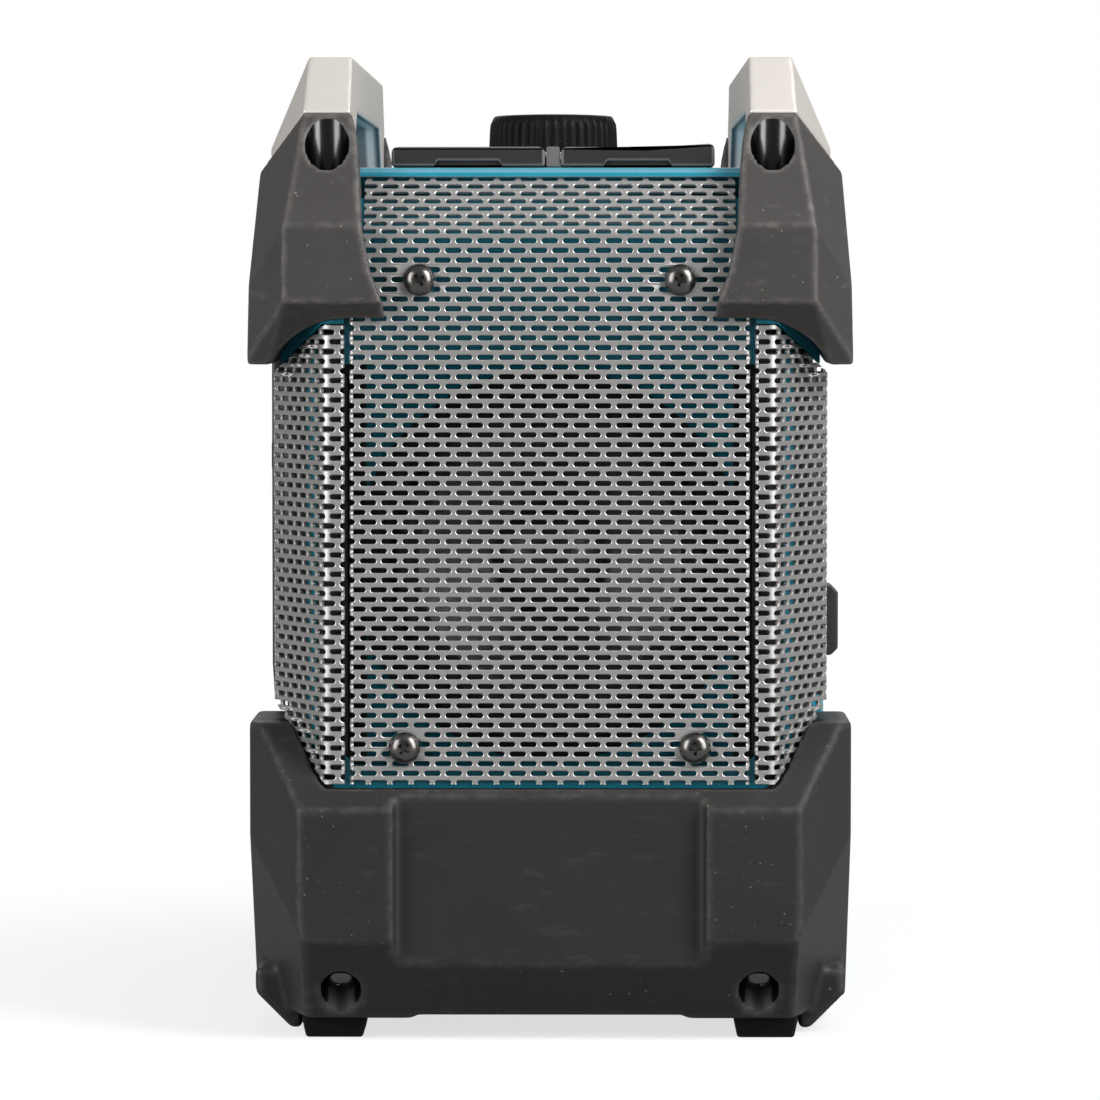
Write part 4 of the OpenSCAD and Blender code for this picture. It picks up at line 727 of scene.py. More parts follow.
def lathe(name, profile, count):
    """A solid turned about Z from points (radius, height), listed from one end of the axis to the other."""
    work = bmesh.new()
    rings = []
    for radius, height in profile:
        if radius < 1e-9:
            rings.append([work.verts.new((0, 0, height))])
        else:
            rings.append([work.verts.new((radius * math.cos(2 * math.pi * i / count),
                                          radius * math.sin(2 * math.pi * i / count), height))
                          for i in range(count)])
    for one, two in zip(rings, rings[1:]):
        for i in range(count):
            j = (i + 1) % count
            if len(one) == 1:
                work.faces.new([one[0], two[i], two[j]])
            elif len(two) == 1:
                work.faces.new([one[i], two[0], one[j]])
            else:
                work.faces.new([one[i], two[i], two[j], one[j]])
    bmesh.ops.recalc_face_normals(work, faces=work.faces)
    return new_object(name, mesh_from(work, name))


def mirrored(made, name, x=1, y=1):
    """A mirrored copy of a finished piece."""
    mesh = made.data.copy()
    mesh.transform(Matrix.Diagonal((x, y, 1, 1)))
    if x * y < 0:
        mesh.flip_normals()
    return new_object(name, mesh)


# ---------------------------------------------------------------- punched sheets
def solid_plate(cells, thickness):
    """A flat closed plate from four-sided cells, its front at height 0."""
    work = bmesh.new()
    found = {}

    def corner(p):
        key = (round(p[0], 7), round(p[1], 7))
        if key not in found:
            found[key] = work.verts.new((p[0], p[1], 0))
        return found[key]

    for cell in cells:
        work.faces.new([corner(p) for p in cell])
    front = list(work.faces)
    rim = [e for e in work.edges if len(e.link_faces) == 1]
    below = {v: work.verts.new((v.co.x, v.co.y, -thickness)) for v in list(work.verts)}
    for face in front:
        work.faces.new([below[v] for v in reversed(face.verts)])
    for edge in rim:
        a, b = edge.verts
        work.faces.new([a, below[a], below[b], b])
    bmesh.ops.recalc_face_normals(work, faces=work.faces)
    return mesh_from(work, "plate")


def between(values, least, most, apart=0.15 * MM):
    """The values inside a span, without those close to its ends or to each other."""
    kept = []
    for value in sorted(values):
        if least + apart < value < most - apart and (not kept or value - kept[-1] > apart):
            kept.append(value)
    return kept


def strips(stations, bottom, top, lines):
    """Cells of a plate between stations along X. The lines run across at these heights."""
    cells = []
    for a, b in zip(stations, stations[1:]):
        floor_z, roof_z = max(bottom(a), bottom(b)), min(top(a), top(b))
        inner = between(lines, floor_z, roof_z)
        rows_a = [bottom(a)] + inner + [top(a)]
        rows_b = [bottom(b)] + inner + [top(b)]
        for i in range(len(inner) + 1):
            cells.append([(a, rows_a[i]), (b, rows_b[i]), (b, rows_b[i + 1]), (a, rows_a[i + 1])])
    return cells


def new_group(name, inputs):
    """A new Geometry Nodes group with a geometry and these inputs: its Tree, and its inputs by name."""
    group = bpy.data.node_groups.new(name, "GeometryNodeTree")
    for label, kind in (("Geometry", "NodeSocketGeometry"),) + inputs:
        group.interface.new_socket(label, in_out="INPUT", socket_type=kind)
    group.interface.new_socket("Geometry", in_out="OUTPUT", socket_type="NodeSocketGeometry")
    g = Tree(group)
    start = group.nodes.new("NodeGroupInput")
    return g, {s.name: Sig(g, s) for s in start.outputs if s.name}


def end_group(g, geometry, material):
    """Ends a group in Realize Instances and Set Material."""
    real = g.node("GeometryNodeRealizeInstances", None, [geometry])
    done = g.node("GeometryNodeSetMaterial", None, {"Geometry": real, "Material": material})
    end = g.tree.nodes.new("NodeGroupOutput")
    g.tree.links.new(done.socket, end.inputs[0])
    return g.tree


SHEET_INPUTS = (
    ("Slot length", "NodeSocketFloat"), ("Slot width", "NodeSocketFloat"),
    ("Slot pitch", "NodeSocketFloat"), ("Row pitch", "NodeSocketFloat"),
    ("Columns", "NodeSocketInt"), ("Rows", "NodeSocketInt"),
    ("Start", "NodeSocketVector"), ("Depth", "NodeSocketFloat"), ("Slot edge", "NodeSocketFloat"),
    ("Screw A", "NodeSocketVector"), ("Screw B", "NodeSocketVector"), ("Clear", "NodeSocketFloat"),
    ("Press", "NodeSocketFloat"), ("Press radius", "NodeSocketFloat"), ("Material", "NodeSocketMaterial"),
)


def slot_cutter(g, length, width, depth, edge):
    """A slot-shaped solid along X that flares at its top, for cutting through a sheet."""
    outline = g.node("GeometryNodeCurvePrimitiveQuadrilateral", None, {"Width": length, "Height": width})
    just_under_half = 0.499
    outline = g.node("GeometryNodeFilletCurve", {"mode": "POLY"}, {
        "Curve": outline, "Count": 3, "Radius": width * just_under_half})
    flat = g.node("GeometryNodeFillCurve", {"mode": "NGONS"}, {0: outline})
    flat = g.moved(flat, g.vector(0.0, 0.0, 0 - depth))
    base = g.node("GeometryNodeFlipFaces", None, [flat])
    up = g.vector(0.0, 0.0, 1.0)
    # height of each step up from the last, and how far it flares out, in rounded edges
    levels = ((depth - edge, 0.0), (edge * 0.6, 0.3), (edge * 0.4, 0.7), (edge * 1.5, 1.5))
    x, y, z = g.parts(g.node("GeometryNodeInputPosition"))
    reach = (length - width) * 0.5
    near = g.clamp(x, 0 - reach, reach)
    away = g.vec("NORMALIZE", g.vector(x - near, y, 0.0))
    body = flat
    top = None
    for height, flare in levels:
        body = g.node("GeometryNodeExtrudeMesh", {"mode": "FACES"}, {
            "Mesh": body, "Selection": top, "Offset": up, "Offset Scale": height, "Individual": False})
        top = g.other(body, 1)
        if flare:
            body = g.moved(body, g.scaled(away, edge * flare), top)
    return g.node("GeometryNodeMergeByDistance", None, {"Geometry": g.join(base, body), "Distance": 1e-6})


def punched_sheet_tree():
    """Punches staggered rows of slots through a flat plate that lies along X and Y."""
    g, given = new_group("Punched sheet", SHEET_INPUTS)
    pitch, row = given["Slot pitch"], given["Row pitch"]
    columns, rows = given["Columns"], given["Rows"]
    grid = g.node("GeometryNodeMeshGrid", None, {
        "Size X": pitch * (columns - 1), "Size Y": row * (rows - 1),
        "Vertices X": columns, "Vertices Y": rows})
    x, y, z = g.parts(g.node("GeometryNodeInputPosition"))
    number = g.fn("ROUND", y / row + (rows - 1) * 0.5)
    shift = g.fn("MODULO", number, 2.0) * pitch * 0.5
    points = g.moved(grid, g.vector(shift, 0.0, 0.0))
    points = g.moved(points, given["Start"])
    x, y, z = g.parts(g.node("GeometryNodeInputPosition"))
    here = g.vector(g.fn("ABSOLUTE", x), y, 0.0)
    nearest = g.fn("MINIMUM", *[g.vec("DISTANCE", here, given[name], output=1)
                                for name in ("Screw A", "Screw B")])
    points = g.node("GeometryNodeDeleteGeometry", {"domain": "POINT"}, {
        "Geometry": points, "Selection": nearest < given["Clear"]})
    cutter = slot_cutter(g, given["Slot length"], given["Slot width"], given["Depth"], given["Slot edge"])
    cutters = g.node("GeometryNodeInstanceOnPoints", None, {"Points": points, "Instance": cutter})
    cutters = g.node("GeometryNodeRealizeInstances", None, [cutters])
    punched = g.node("GeometryNodeMeshBoolean", {"operation": "DIFFERENCE", "solver": "MANIFOLD"}, {
        0: given["Geometry"], 1: cutters})
    punched = g.node("GeometryNodeTriangulate", None, [punched])
    # the sheet is pressed in under each screw's head
    flat_floor = given["Press radius"] * 0.55
    sunk = g.node("ShaderNodeMapRange", {"interpolation_type": "SMOOTHSTEP"}, {
        0: nearest, 1: flat_floor, 2: given["Press radius"], 3: 0 - given["Press"], 4: 0.0})
    punched = g.moved(punched, g.vector(0.0, 0.0, sunk))
    return end_group(g, punched, given["Material"])


BEND_INPUTS = (("Start", "NodeSocketFloat"), ("Radius", "NodeSocketFloat"), ("Angle", "NodeSocketFloat"),
               ("Material", "NodeSocketMaterial"))


def bend_tree():
    """Bends a sheet that lies along X and Y inwards, about a line across X."""
    g, given = new_group("Sheet bend", BEND_INPUTS)
    radius = given["Radius"]
    x, y, z = g.parts(g.node("GeometryNodeInputPosition"))
    along = x - given["Start"]
    turn = g.clamp(along / radius, 0.0, given["Angle"])
    rest = along - radius * turn
    sine, cosine = g.fn("SINE", turn), g.fn("COSINE", turn)
    there = g.vector(given["Start"] + (radius + z) * sine + rest * cosine, y,
                     (radius + z) * cosine - radius - rest * sine)
    bent = g.node("GeometryNodeSetPosition", None, {"Geometry": given["Geometry"], "Position": there})
    return end_group(g, bent, given["Material"])


def run_nodes(made, tree, **values):
    """Adds a Geometry Nodes modifier with these inputs, which are named with _ for a space."""
    modifier = made.modifiers.new(tree.name, "NODES")
    modifier.node_group = tree
    named = {s.name: s.identifier for s in tree.interface.items_tree if s.in_out == "INPUT"}
    for name, value in values.items():
        modifier[named[name.replace("_", " ")]] = value


def punched_sheet(name, cells, sizes, columns, rows, start, material, screws=()):
    """A flat punched sheet made from plate cells. Where no screws go through it, they are put far off."""
    made = new_object(name, solid_plate(cells, sizes.thickness))
    screw_a, screw_b = screws or ((9, 9, 0), (9, 9, 0))
    run_nodes(made, bpy.data.node_groups["Punched sheet"], Slot_length=sizes.slot_length,
              Slot_width=sizes.slot_width, Slot_pitch=sizes.slot_pitch, Row_pitch=sizes.row_pitch,
              Columns=columns, Rows=rows, Start=start, Depth=sizes.thickness + 0.4 * MM,
              Slot_edge=sizes.edge_round, Screw_A=screw_a, Screw_B=screw_b, Clear=SCREW_CLEAR,
              Press=PRESS_DEPTH, Press_radius=PRESS_RADIUS, Material=material)
    baked(made)
    return made


def bend_steps(start, length, count=7):
    """Where the plate is divided along a bend."""
    return [start + length * i / count for i in range(count + 1)]


def bend_sheet(made, start, radius, angle, material):
    """Adds a bend of a flat sheet about a line across X."""
    run_nodes(made, bpy.data.node_groups["Sheet bend"], Start=start, Radius=radius, Angle=angle,
              Material=material)


class RADIO_OT_end_grilles(bpy.types.Operator):
    """Punches, bends and places the two end grilles"""
    bl_idname = "radio.end_grilles"
    bl_label = "End Grilles"

    def execute(self, context):
        s = context.scene.radio_sheets
        side = GRILLE_HALF - ROLL
        fold = math.radians(90)
        side_bend = ROLL * fold
        slope = (GRILLE_Z1 - s.lean_z) / math.cos(s.lean)
        lean_radius = 3 * MM
        lean_start = s.lean_z - lean_radius * math.tan(s.lean / 2)
        lean_bend = lean_radius * s.lean
        top = lean_start + lean_bend + slope - lean_radius * math.tan(s.lean / 2)
        # above step_z the sheet has no rolled sides, and is this wide from its middle
        step_z = 205 * MM
        narrow = 50.4 * MM
        turns = bend_steps(side, side_bend, 4)
        rows = int((top - GRILLE_Z0) / s.row_pitch) + 1
        columns = 21
        middle = GRILLE_Z0 + (top - GRILLE_Z0) / 2
        edges = [narrow] + turns + [turns[-1] + 1.6 * MM]
        # the plate is divided so that each of its faces stays simple when the slots are cut
        inner = between([(i + 0.25) * s.slot_pitch for i in range(-12, 12)], -narrow, narrow, 0.3 * MM)
        wide_lines = sorted([-u for u in edges] + edges + inner)
        across = list(zip(wide_lines, wide_lines[1:]))
        levels = [middle + (i - rows / 2) * s.row_pitch for i in range(rows + 1)]
        bends = bend_steps(lean_start, lean_bend)
        up = sorted([GRILLE_Z0, step_z, top] + bends + between(levels, GRILLE_Z0, step_z)
                    + between(levels, step_z, bends[0]) + between(levels, bends[-1], top))
        cells = []
        for z0, z1 in zip(up, up[1:]):
            for y0, y1 in across:
                if z0 < step_z or max(abs(y0), abs(y1)) <= narrow + 1e-9:
                    cells.append([(y0, z0), (y1, z0), (y1, z1), (y0, z1)])
        steel = bpy.data.materials["Coated sheet"]
        made = punched_sheet("right_end_sheet", cells, s, columns, rows, (0, middle, 0), steel,
                             GRILLE_SCREWS)
        # both sides are rolled inwards, with half a turn of the sheet after each
        for _ in range(2):
            bend_sheet(made, side, ROLL, fold, steel)
            baked(made)
            made.data.transform(Matrix.Rotation(math.pi, 4, "Z"))
        # the leaning top is bent about a line across the sheet
        made.data.transform(Matrix.Rotation(-math.pi / 2, 4, "Z"))
        bend_sheet(made, lean_start, lean_radius, s.lean, steel)
        baked(made)
        turned = Matrix(((0, 0, 1, GRILLE_X), (0, -1, 0, 0), (1, 0, 0, 0), (0, 0, 0, 1)))
        made.data.transform(turned)
        tidy_faces(made.data)
        place_piece(made, "right_end_grille", steel, 24)
        place_piece(mirrored(made, "left_end_sheet", x=-1), "left_end_grille", steel, 24)
        return {"FINISHED"}


def close_strip_end(mesh, thickness):
    """Adds the short flange that turns in to the housing at the inner end of a corner sheet."""
    ends = [v.co.z for v in mesh.vertices if v.co.x < STRIP_X + 0.5 * MM]
    foot, top = min(ends), max(ends)
    add_box(mesh, (thickness, STRIP_Y - HOUSING_Y - 0.3 * MM, top - foot),
            (STRIP_X + thickness * 1.6, -(STRIP_Y + HOUSING_Y) / 2 + 0.1 * MM, (top + foot) / 2))


class RADIO_OT_corner_grilles(bpy.types.Operator):
    """Punches, bends and places the four corner grilles"""
    bl_idname = "radio.corner_grilles"
    bl_label = "Corner Grilles"

    def execute(self, context):
        s = context.scene.radio_sheets
        steel = bpy.data.materials["Coated sheet"]
        face = (STRIP_Y - BEND_Y) / math.cos(s.corner_turn)
        strip = GRILLE_X - face * math.sin(s.corner_turn) - STRIP_X
        fold = math.radians(90)
        second = math.pi / 2 - s.corner_turn
        set_first = s.bend_radius * math.tan(s.corner_turn / 2)
        set_second = s.bend_radius * math.tan(second / 2)
        # places along the flat sheet, from the rail outwards
        first = BEND_Y - RAIL_Y - set_first
        first_end = first + s.bend_radius * s.corner_turn
        second_start = first_end + face - set_first - set_second
        second_end = second_start + s.bend_radius * second
        last = second_end + strip - set_second

        edge = (first + first_end) / 2

        def share(u):
            """How far across the slanting face, from 0 to 1."""
            return min(max((u - edge) / face, 0), 1)

        def bottom(u):
            return GRILLE_Z0 + CORNER_RISE * share(u)

        def top(u):
            return CORNER_Z1 - CORNER_DROP * share(u)

        # the sheet turns in beside the rail, and goes on this far beyond the turn
        beyond = 1.5 * MM
        columns = 16
        rows = int((CORNER_Z1 - GRILLE_Z0) / s.row_pitch) + 2
        start = (last / 2 - beyond, (CORNER_Z1 + GRILLE_Z0) / 2, 0)
        # the plate is divided along its bends, and between them where the slots are
        stations = sorted([-ROLL * fold - beyond, edge, edge + face, last]
                          + bend_steps(-ROLL * fold, ROLL * fold, 3) + bend_steps(first, first_end - first)
                          + bend_steps(second_start, second_end - second_start, 4))
        stations = [u for i, u in enumerate(stations) if i == 0 or u - stations[i - 1] > 0.01 * MM]
        slots = between([start[0] + (i + 0.25) * s.slot_pitch for i in range(-14, 14)], stations[0], last)
        stations = sorted(stations + [q for q in slots if min(abs(q - u) for u in stations) > 0.2 * MM])
        levels = [start[1] + (i - rows / 2) * s.row_pitch for i in range(rows + 1)]
        made = punched_sheet("front_right_corner_sheet", strips(stations, bottom, top, levels), s, columns,
                             rows, start, steel)
        bend_sheet(made, second_start, s.bend_radius, second, steel)
        bend_sheet(made, first, s.bend_radius, s.corner_turn, steel)
        baked(made)
        made.data.transform(Matrix.Rotation(math.pi, 4, "Z"))
        bend_sheet(made, 0.0, ROLL, fold, steel)
        baked(made)
        made.data.transform(Matrix.Rotation(math.pi, 4, "Z"))
        turned = Matrix(((0, 0, 1, GRILLE_X), (-1, 0, 0, -RAIL_Y), (0, 1, 0, 0), (0, 0, 0, 1)))
        made.data.transform(turned)
        close_strip_end(made.data, s.thickness)
        tidy_faces(made.data)
        place_piece(made, "front_right_corner_grille", steel, 24)
        for corner, x, y in CORNERS:
            sheet = mirrored(made, corner + "_corner_sheet", x, y)
            place_piece(sheet, corner + "_corner_grille", steel, 24)
        return {"FINISHED"}


# ---------------------------------------------------------------- finishes of the pieces
class RADIO_OT_finishes(bpy.types.Operator):
    """Makes the finishes and gives the inner and moulded pieces theirs"""
    bl_idname = "radio.finishes"
    bl_label = "Finishes"

    def execute(self, context):
        c = context.scene.radio_colours
        # the housing plastic gets painted shade behind the end grilles and a painted highlight on its
        # rounded edges
        blue = moulded("Housing plastic", c.housing, 0.38, specular=0.4, edge=0.9,
                       dark_behind_sheets=shade(c.plastic, 0.8))
        black = moulded("Black plastic", c.plastic, 0.46)
        coated_sheet("Coated sheet", c.sheet)
        tough = rubber("Bumper rubber", shade(c.rubber, 1.5), 0.48, 0.25, polish=True)
        # painted shade: the boots' rubber is about half as light as the bumpers', for the less light their
        # low faces get
        boot = rubber("Boot rubber", shade(c.rubber, 0.74), 0.5, 0.2, polish=True)
        keys = rubber("Button rubber", shade(c.rubber, 0.6), 0.55, 0.25)
        rubber("Knob rubber", shade(c.rubber, 0.2), 0.45, 0.08)
        # painted shade: the feet's rubber is darkened for the shade near the floor
        rubber("Foot rubber", shade(c.rubber, 0.2), 0.6, 0.1)
        # the flap plastic's rounded edges get a painted highlight
        moulded("Flap plastic", c.plastic, 0.5, 0.8 * MM, 0.13 * MM, 0.35, 0.8)
        handle_metal("Handle metal", c.handle)
        screws = black_steel("Black screw steel")
        steel = bright_steel("Plated steel")
        brass = bright_steel("Brass", (0.66, 0.44, 0.16, 1), 0.24)
        boards = circuit_board("Circuit board")
        # painted shade: the baffle's blue and black are darkened copies of the housing blue and the black
        # plastic, for the shade behind the end grilles
        baffle = baffle_finish("Baffle", shade(c.housing, 0.42), shade(c.plastic, 0.5))
        cone = paper_cone("Speaker paper")
        glass = display_glass("Display glass")
        gasket = rubber("Seal foam", (0.02, 0.02, 0.02, 1), 0.8)
        for material, nodes in (
                (blue, ("front_housing", "rear_housing", "top_deck", "battery_door")),
                (baffle, ("right_baffle", "left_baffle")),
                (black, ("control_panel", "battery_bay", "battery_latch", "power_inlet", "front_flap",
                         "rear_flap", "speaker_frames", "display_module")),
                (tough, ("front_right_bumper",) + tuple(corner + "_bumper" for corner, x, y in CORNERS)),
                (boot, ("right_boot", "left_boot")),
                (keys, BUTTONS + ("feet", "volume_knob")),
                (gasket, ("door_seal", "speaker_surrounds")),
                (screws, ("grille_screws", "bumper_screws", "housing_screws")),
                (steel, ("speaker_magnets", "door_hinge_pin", "audio_socket", "charging_socket",
                         "flap_pins", "encoder_shaft", "encoder_body", "antenna_base", "antenna_pin",
                         "antenna_tube", "antenna_middle", "antenna_tip")),
                (brass, ("battery_terminals",)),
                (boards, ("main_board", "power_board")),
                (cone, ("speaker_cones", "dust_caps")),
                (glass, ("display_window",)),
                (bpy.data.materials["Handle metal"], ("front_handle", "rear_handle")),
        ):
            for node in nodes:
                wear(node, material)
        punched_sheet_tree()
        bend_tree()
        return {"FINISHED"}


class RADIO_OT_rubber(bpy.types.Operator):
    """Rounds the edges of the rubber bumpers, boots and feet"""
    bl_idname = "radio.rubber"
    bl_label = "Rubber Pieces"

    def execute(self, context):
        s = context.scene.radio_edges
        tough = bpy.data.materials["Bumper rubber"]
        made = rounded("front_right_bumper", s.bumper, s.passes)
        place_piece(made, "front_right_bumper", tough, 180)
        for corner, x, y in CORNERS:
            node = corner + "_bumper"
            place_piece(mirrored(made, "round_" + node, x, y), node, tough, 180)
        made = rounded("right_boot", s.boot, s.passes)
        boot = bpy.data.materials["Boot rubber"]
        place_piece(made, "right_boot", boot, 180)
        place_piece(mirrored(made, "round_left_boot", x=-1), "left_boot", boot, 180)
        soft_piece("feet", 0.8 * MM, bpy.data.materials["Foot rubber"])
        return {"FINISHED"}


class RADIO_OT_handles(bpy.types.Operator):
    """Rounds the edges of the handle bars"""
    bl_idname = "radio.handles"
    bl_label = "Handles"

    def execute(self, context):
        s = context.scene.radio_edges
        metal = bpy.data.materials["Handle metal"]
        made = rounded("front_handle", s.handle, s.passes)
        mesh = made.data
        # the walls of the hand opening face its middle
        middle = np.array((low("front_handle") + high("front_handle")) / 2)
        places, normals = numbers(mesh.polygons, "center", 3), numbers(mesh.polygons, "normal", 3)
        towards = np.sum((middle - places) * normals, axis=1) > 0
        walls = towards & (abs(normals[:, 1]) < 0.9) & (places[:, 2] > low("front_handle").z + 0.5 * MM)
        # these faces get the handle's painted reflection and painted highlight
        mesh.attributes.new("inner", "FLOAT", "FACE").data.foreach_set("value", walls.astype(np.float32))
        place_piece(made, "front_handle", metal, 180)
        place_piece(mirrored(made, "round_rear_handle", y=-1), "rear_handle", metal, 180)
        return {"FINISHED"}


def close_notch(mesh, node):
    """Adds the wall behind the finger notch in a flap's free edge."""
    least, most = low(node), high(node)
    thick, wide, tall = 0.8 * MM, 19.6 * MM, 2.2 * MM
    add_box(mesh, (thick, wide, tall), (most.x - 1.5 * MM, (least.y + most.y) / 2, least.z + 1.5 * MM))


class RADIO_OT_mouldings(bpy.types.Operator):
    """Rounds the edges of the moulded pieces, the flaps and the buttons"""
    bl_idname = "radio.mouldings"
    bl_label = "Moulded Pieces"

    def execute(self, context):
        s = context.scene.radio_edges
        blue = bpy.data.materials["Housing plastic"]
        black = bpy.data.materials["Black plastic"]
        for node, width, material in (
                ("top_deck", 0.5 * MM, blue), ("battery_door", 0.7 * MM, blue),
                ("battery_latch", 0.5 * MM, black), ("control_panel", 0.8 * MM, black)):
            soft_piece(node, width, material, fine=0.12 * MM, segments=2, outline=node != "battery_latch")
        for node in ("front_flap", "rear_flap"):
            made = softened(node, 0.8 * MM, fine=0.12 * MM, segments=2)
            close_notch(made.data, node)
            place_piece(made, node, bpy.data.materials["Flap plastic"], None)
        keys = bpy.data.materials["Button rubber"]
        for node in BUTTONS:
            place_piece(rounded(node, s.button, s.button_passes), node, keys, 180)
        return {"FINISHED"}


# ---------------------------------------------------------------- screws and knob
def screw_spots(node):
    """Where a frame node's screws stand: each head's seat, its outward axis and its shaft's length."""
    work = open_mesh(NODES[node].data, 1e-6)
    spots, seen = [], set()
    for seed in work.verts:
        if seed in seen:
            continue
        seen.add(seed)
        group = [seed]
        for vert in group:
            for edge in vert.link_edges:
                near = edge.other_vert(vert)
                if near not in seen:
                    seen.add(near)
                    group.append(near)
        middle = sum((v.co for v in group), Vector()) / len(group)
        if node == "housing_screws":
            axis = Vector((0, 1, 0))
        elif node == "grille_screws":
            axis = Vector((math.copysign(1, middle.x), 0, 0))
        else:
            steep = math.copysign(RECESS_STEEP, middle.z - HALFWAY_Z)
            axis = Vector((math.copysign(math.cos(steep), middle.x), 0, math.sin(steep)))
        along = [v.co.dot(axis) for v in group]
        tip = [v.co for v, t in zip(group, along) if t < min(along) + 0.01 * MM]
        end = sum(tip, Vector()) / len(tip)
        length = max(along) - min(along) - HEAD_H
        spots.append((end + axis * length, axis, length))
    work.free()
    return spots


SCREW_INPUTS = (
    ("Head", "NodeSocketObject"), ("Shaft", "NodeSocketObject"), ("Cross length", "NodeSocketFloat"),
    ("Cross width", "NodeSocketFloat"), ("Cross depth", "NodeSocketFloat"),
    ("Head height", "NodeSocketFloat"), ("Material", "NodeSocketMaterial"),
)


def screws_tree():
    """Puts a cross-recess screw on each point, along the point's axis."""
    g, given = new_group("Screws", SCREW_INPUTS)
    head = g.node("GeometryNodeObjectInfo", None, {"Object": given["Head"]}, 4)
    shaft = g.node("GeometryNodeObjectInfo", None, {"Object": given["Shaft"]}, 4)
    depth = given["Cross depth"]
    across, wide = given["Cross length"], given["Cross width"]
    arms = []
    for size in ((across, wide), (wide, across)):
        arm = g.node("GeometryNodeMeshCube", None, {
            "Size": g.vector(size[0], size[1], depth * 2),
            "Vertices X": 3, "Vertices Y": 3, "Vertices Z": 3})
        x, y, z = g.parts(g.node("GeometryNodeInputPosition"))
        # the recess narrows towards its floor
        narrow = 1 + g.clamp(z / depth, -1.0, 0.0) * 0.45
        arms.append(g.node("GeometryNodeSetPosition", None, {
            "Geometry": arm, "Position": g.vector(x * narrow, y * narrow, z + given["Head height"])}))
    cut = head
    for arm in arms:
        cut = g.node("GeometryNodeMeshBoolean", {"operation": "DIFFERENCE", "solver": "EXACT"}, {
            0: cut, 1: arm})
    axis = g.node("GeometryNodeInputNamedAttribute", {"data_type": "FLOAT_VECTOR"}, {"Name": "axis"})
    length = g.node("GeometryNodeInputNamedAttribute", {"data_type": "FLOAT"}, {"Name": "length"})
    turn = g.node("GeometryNodeInputNamedAttribute", {"data_type": "FLOAT"}, {"Name": "turn"})
    facing = g.node("FunctionNodeAlignRotationToVector", {"axis": "Z"}, {"Vector": axis})
    spin = g.node("FunctionNodeAxisAngleToRotation", None, {"Axis": (0, 0, 1), "Angle": turn})
    facing = g.node("FunctionNodeRotateRotation", {"rotation_space": "LOCAL"}, {
        "Rotation": facing, "Rotate By": spin})
    # the shaft is 1 mm long, and is drawn out to each screw's length
    placed = [g.node("GeometryNodeInstanceOnPoints", None, {
        "Points": given["Geometry"], "Instance": piece, "Rotation": facing, "Scale": scale})
        for piece, scale in ((cut, g.vector(1.0, 1.0, 1.0)), (shaft, g.vector(1.0, 1.0, length / MM)))]
    return end_group(g, g.join(*placed), given["Material"])


class RADIO_OT_screws(bpy.types.Operator):
    """Makes the screws with domed heads and cross recesses"""
    bl_idname = "radio.screws"
    bl_label = "Screws"

    def execute(self, context):
        tree = screws_tree()
        dark = bpy.data.materials["Black screw steel"]
        head = lathe("screw_head", [
            (0, HEAD_H), (0.8 * MM, 2.77 * MM), (1.6 * MM, 2.67 * MM), (2.4 * MM, 2.42 * MM),
            (3.1 * MM, 2.02 * MM), (3.7 * MM, 1.46 * MM), (4.1 * MM, 0.86 * MM), (4.32 * MM, 0.35 * MM),
            (4.3 * MM, 0.08 * MM), (4.15 * MM, 0), (0, 0)], 32)
        shaft = lathe("screw_shaft", [
            (0, 0), (2 * MM, 0), (2 * MM, -0.9 * MM), (0.6 * MM, -1 * MM), (0, -1 * MM)], 16)
        for node in ("grille_screws", "bumper_screws", "housing_screws"):
            spots = screw_spots(node)
            mesh = bpy.data.meshes.new(node + "_spots")
            mesh.from_pydata([spot[0] for spot in spots], [], [])
            for name, kind in (("axis", "FLOAT_VECTOR"), ("length", "FLOAT"), ("turn", "FLOAT")):
                mesh.attributes.new(name, kind, "POINT")
            # each screw has stopped at an angle of its own
            for i, (seat, axis, length) in enumerate(spots):
                mesh.attributes["axis"].data[i].vector = axis
                mesh.attributes["length"].data[i].value = length
                mesh.attributes["turn"].data[i].value = 0.6 + 1.9 * i
            made = new_object("turned_" + node, mesh)
            run_nodes(made, tree, Head=head, Shaft=shaft, Cross_length=3.7 * MM, Cross_width=0.85 * MM,
                      Cross_depth=1.5 * MM, Head_height=HEAD_H, Material=dark)
            baked(made)
            place_piece(made, node, dark, 32)
        for helper in (head, shaft):
            bpy.data.objects.remove(helper)
        return {"FINISHED"}


KNOB_INPUTS = (("Sector", "NodeSocketObject"), ("Ribs", "NodeSocketInt"),
               ("Material", "NodeSocketMaterial"))


def knob_tree():
    """Repeats one sector of the knob about Z and joins the copies."""
    g, given = new_group("Knob ribs", KNOB_INPUTS)
    sector = g.node("GeometryNodeObjectInfo", None, {"Object": given["Sector"]}, 4)
    spots = g.node("GeometryNodeMeshLine", {"mode": "OFFSET", "count_mode": "TOTAL"}, {
        "Count": given["Ribs"], "Offset": (0, 0, 0)})
    number = g.node("GeometryNodeInputIndex")
    turn = g.vector(0.0, 0.0, number / given["Ribs"] * (2 * math.pi))
    turn = g.node("FunctionNodeEulerToRotation", None, [turn])
    copies = g.node("GeometryNodeInstanceOnPoints", None, {
        "Points": spots, "Instance": sector, "Rotation": turn})
    copies = g.node("GeometryNodeRealizeInstances", None, [copies])
    whole = g.node("GeometryNodeMergeByDistance", None, {"Geometry": copies, "Distance": 1e-6})
    return end_group(g, whole, given["Material"])


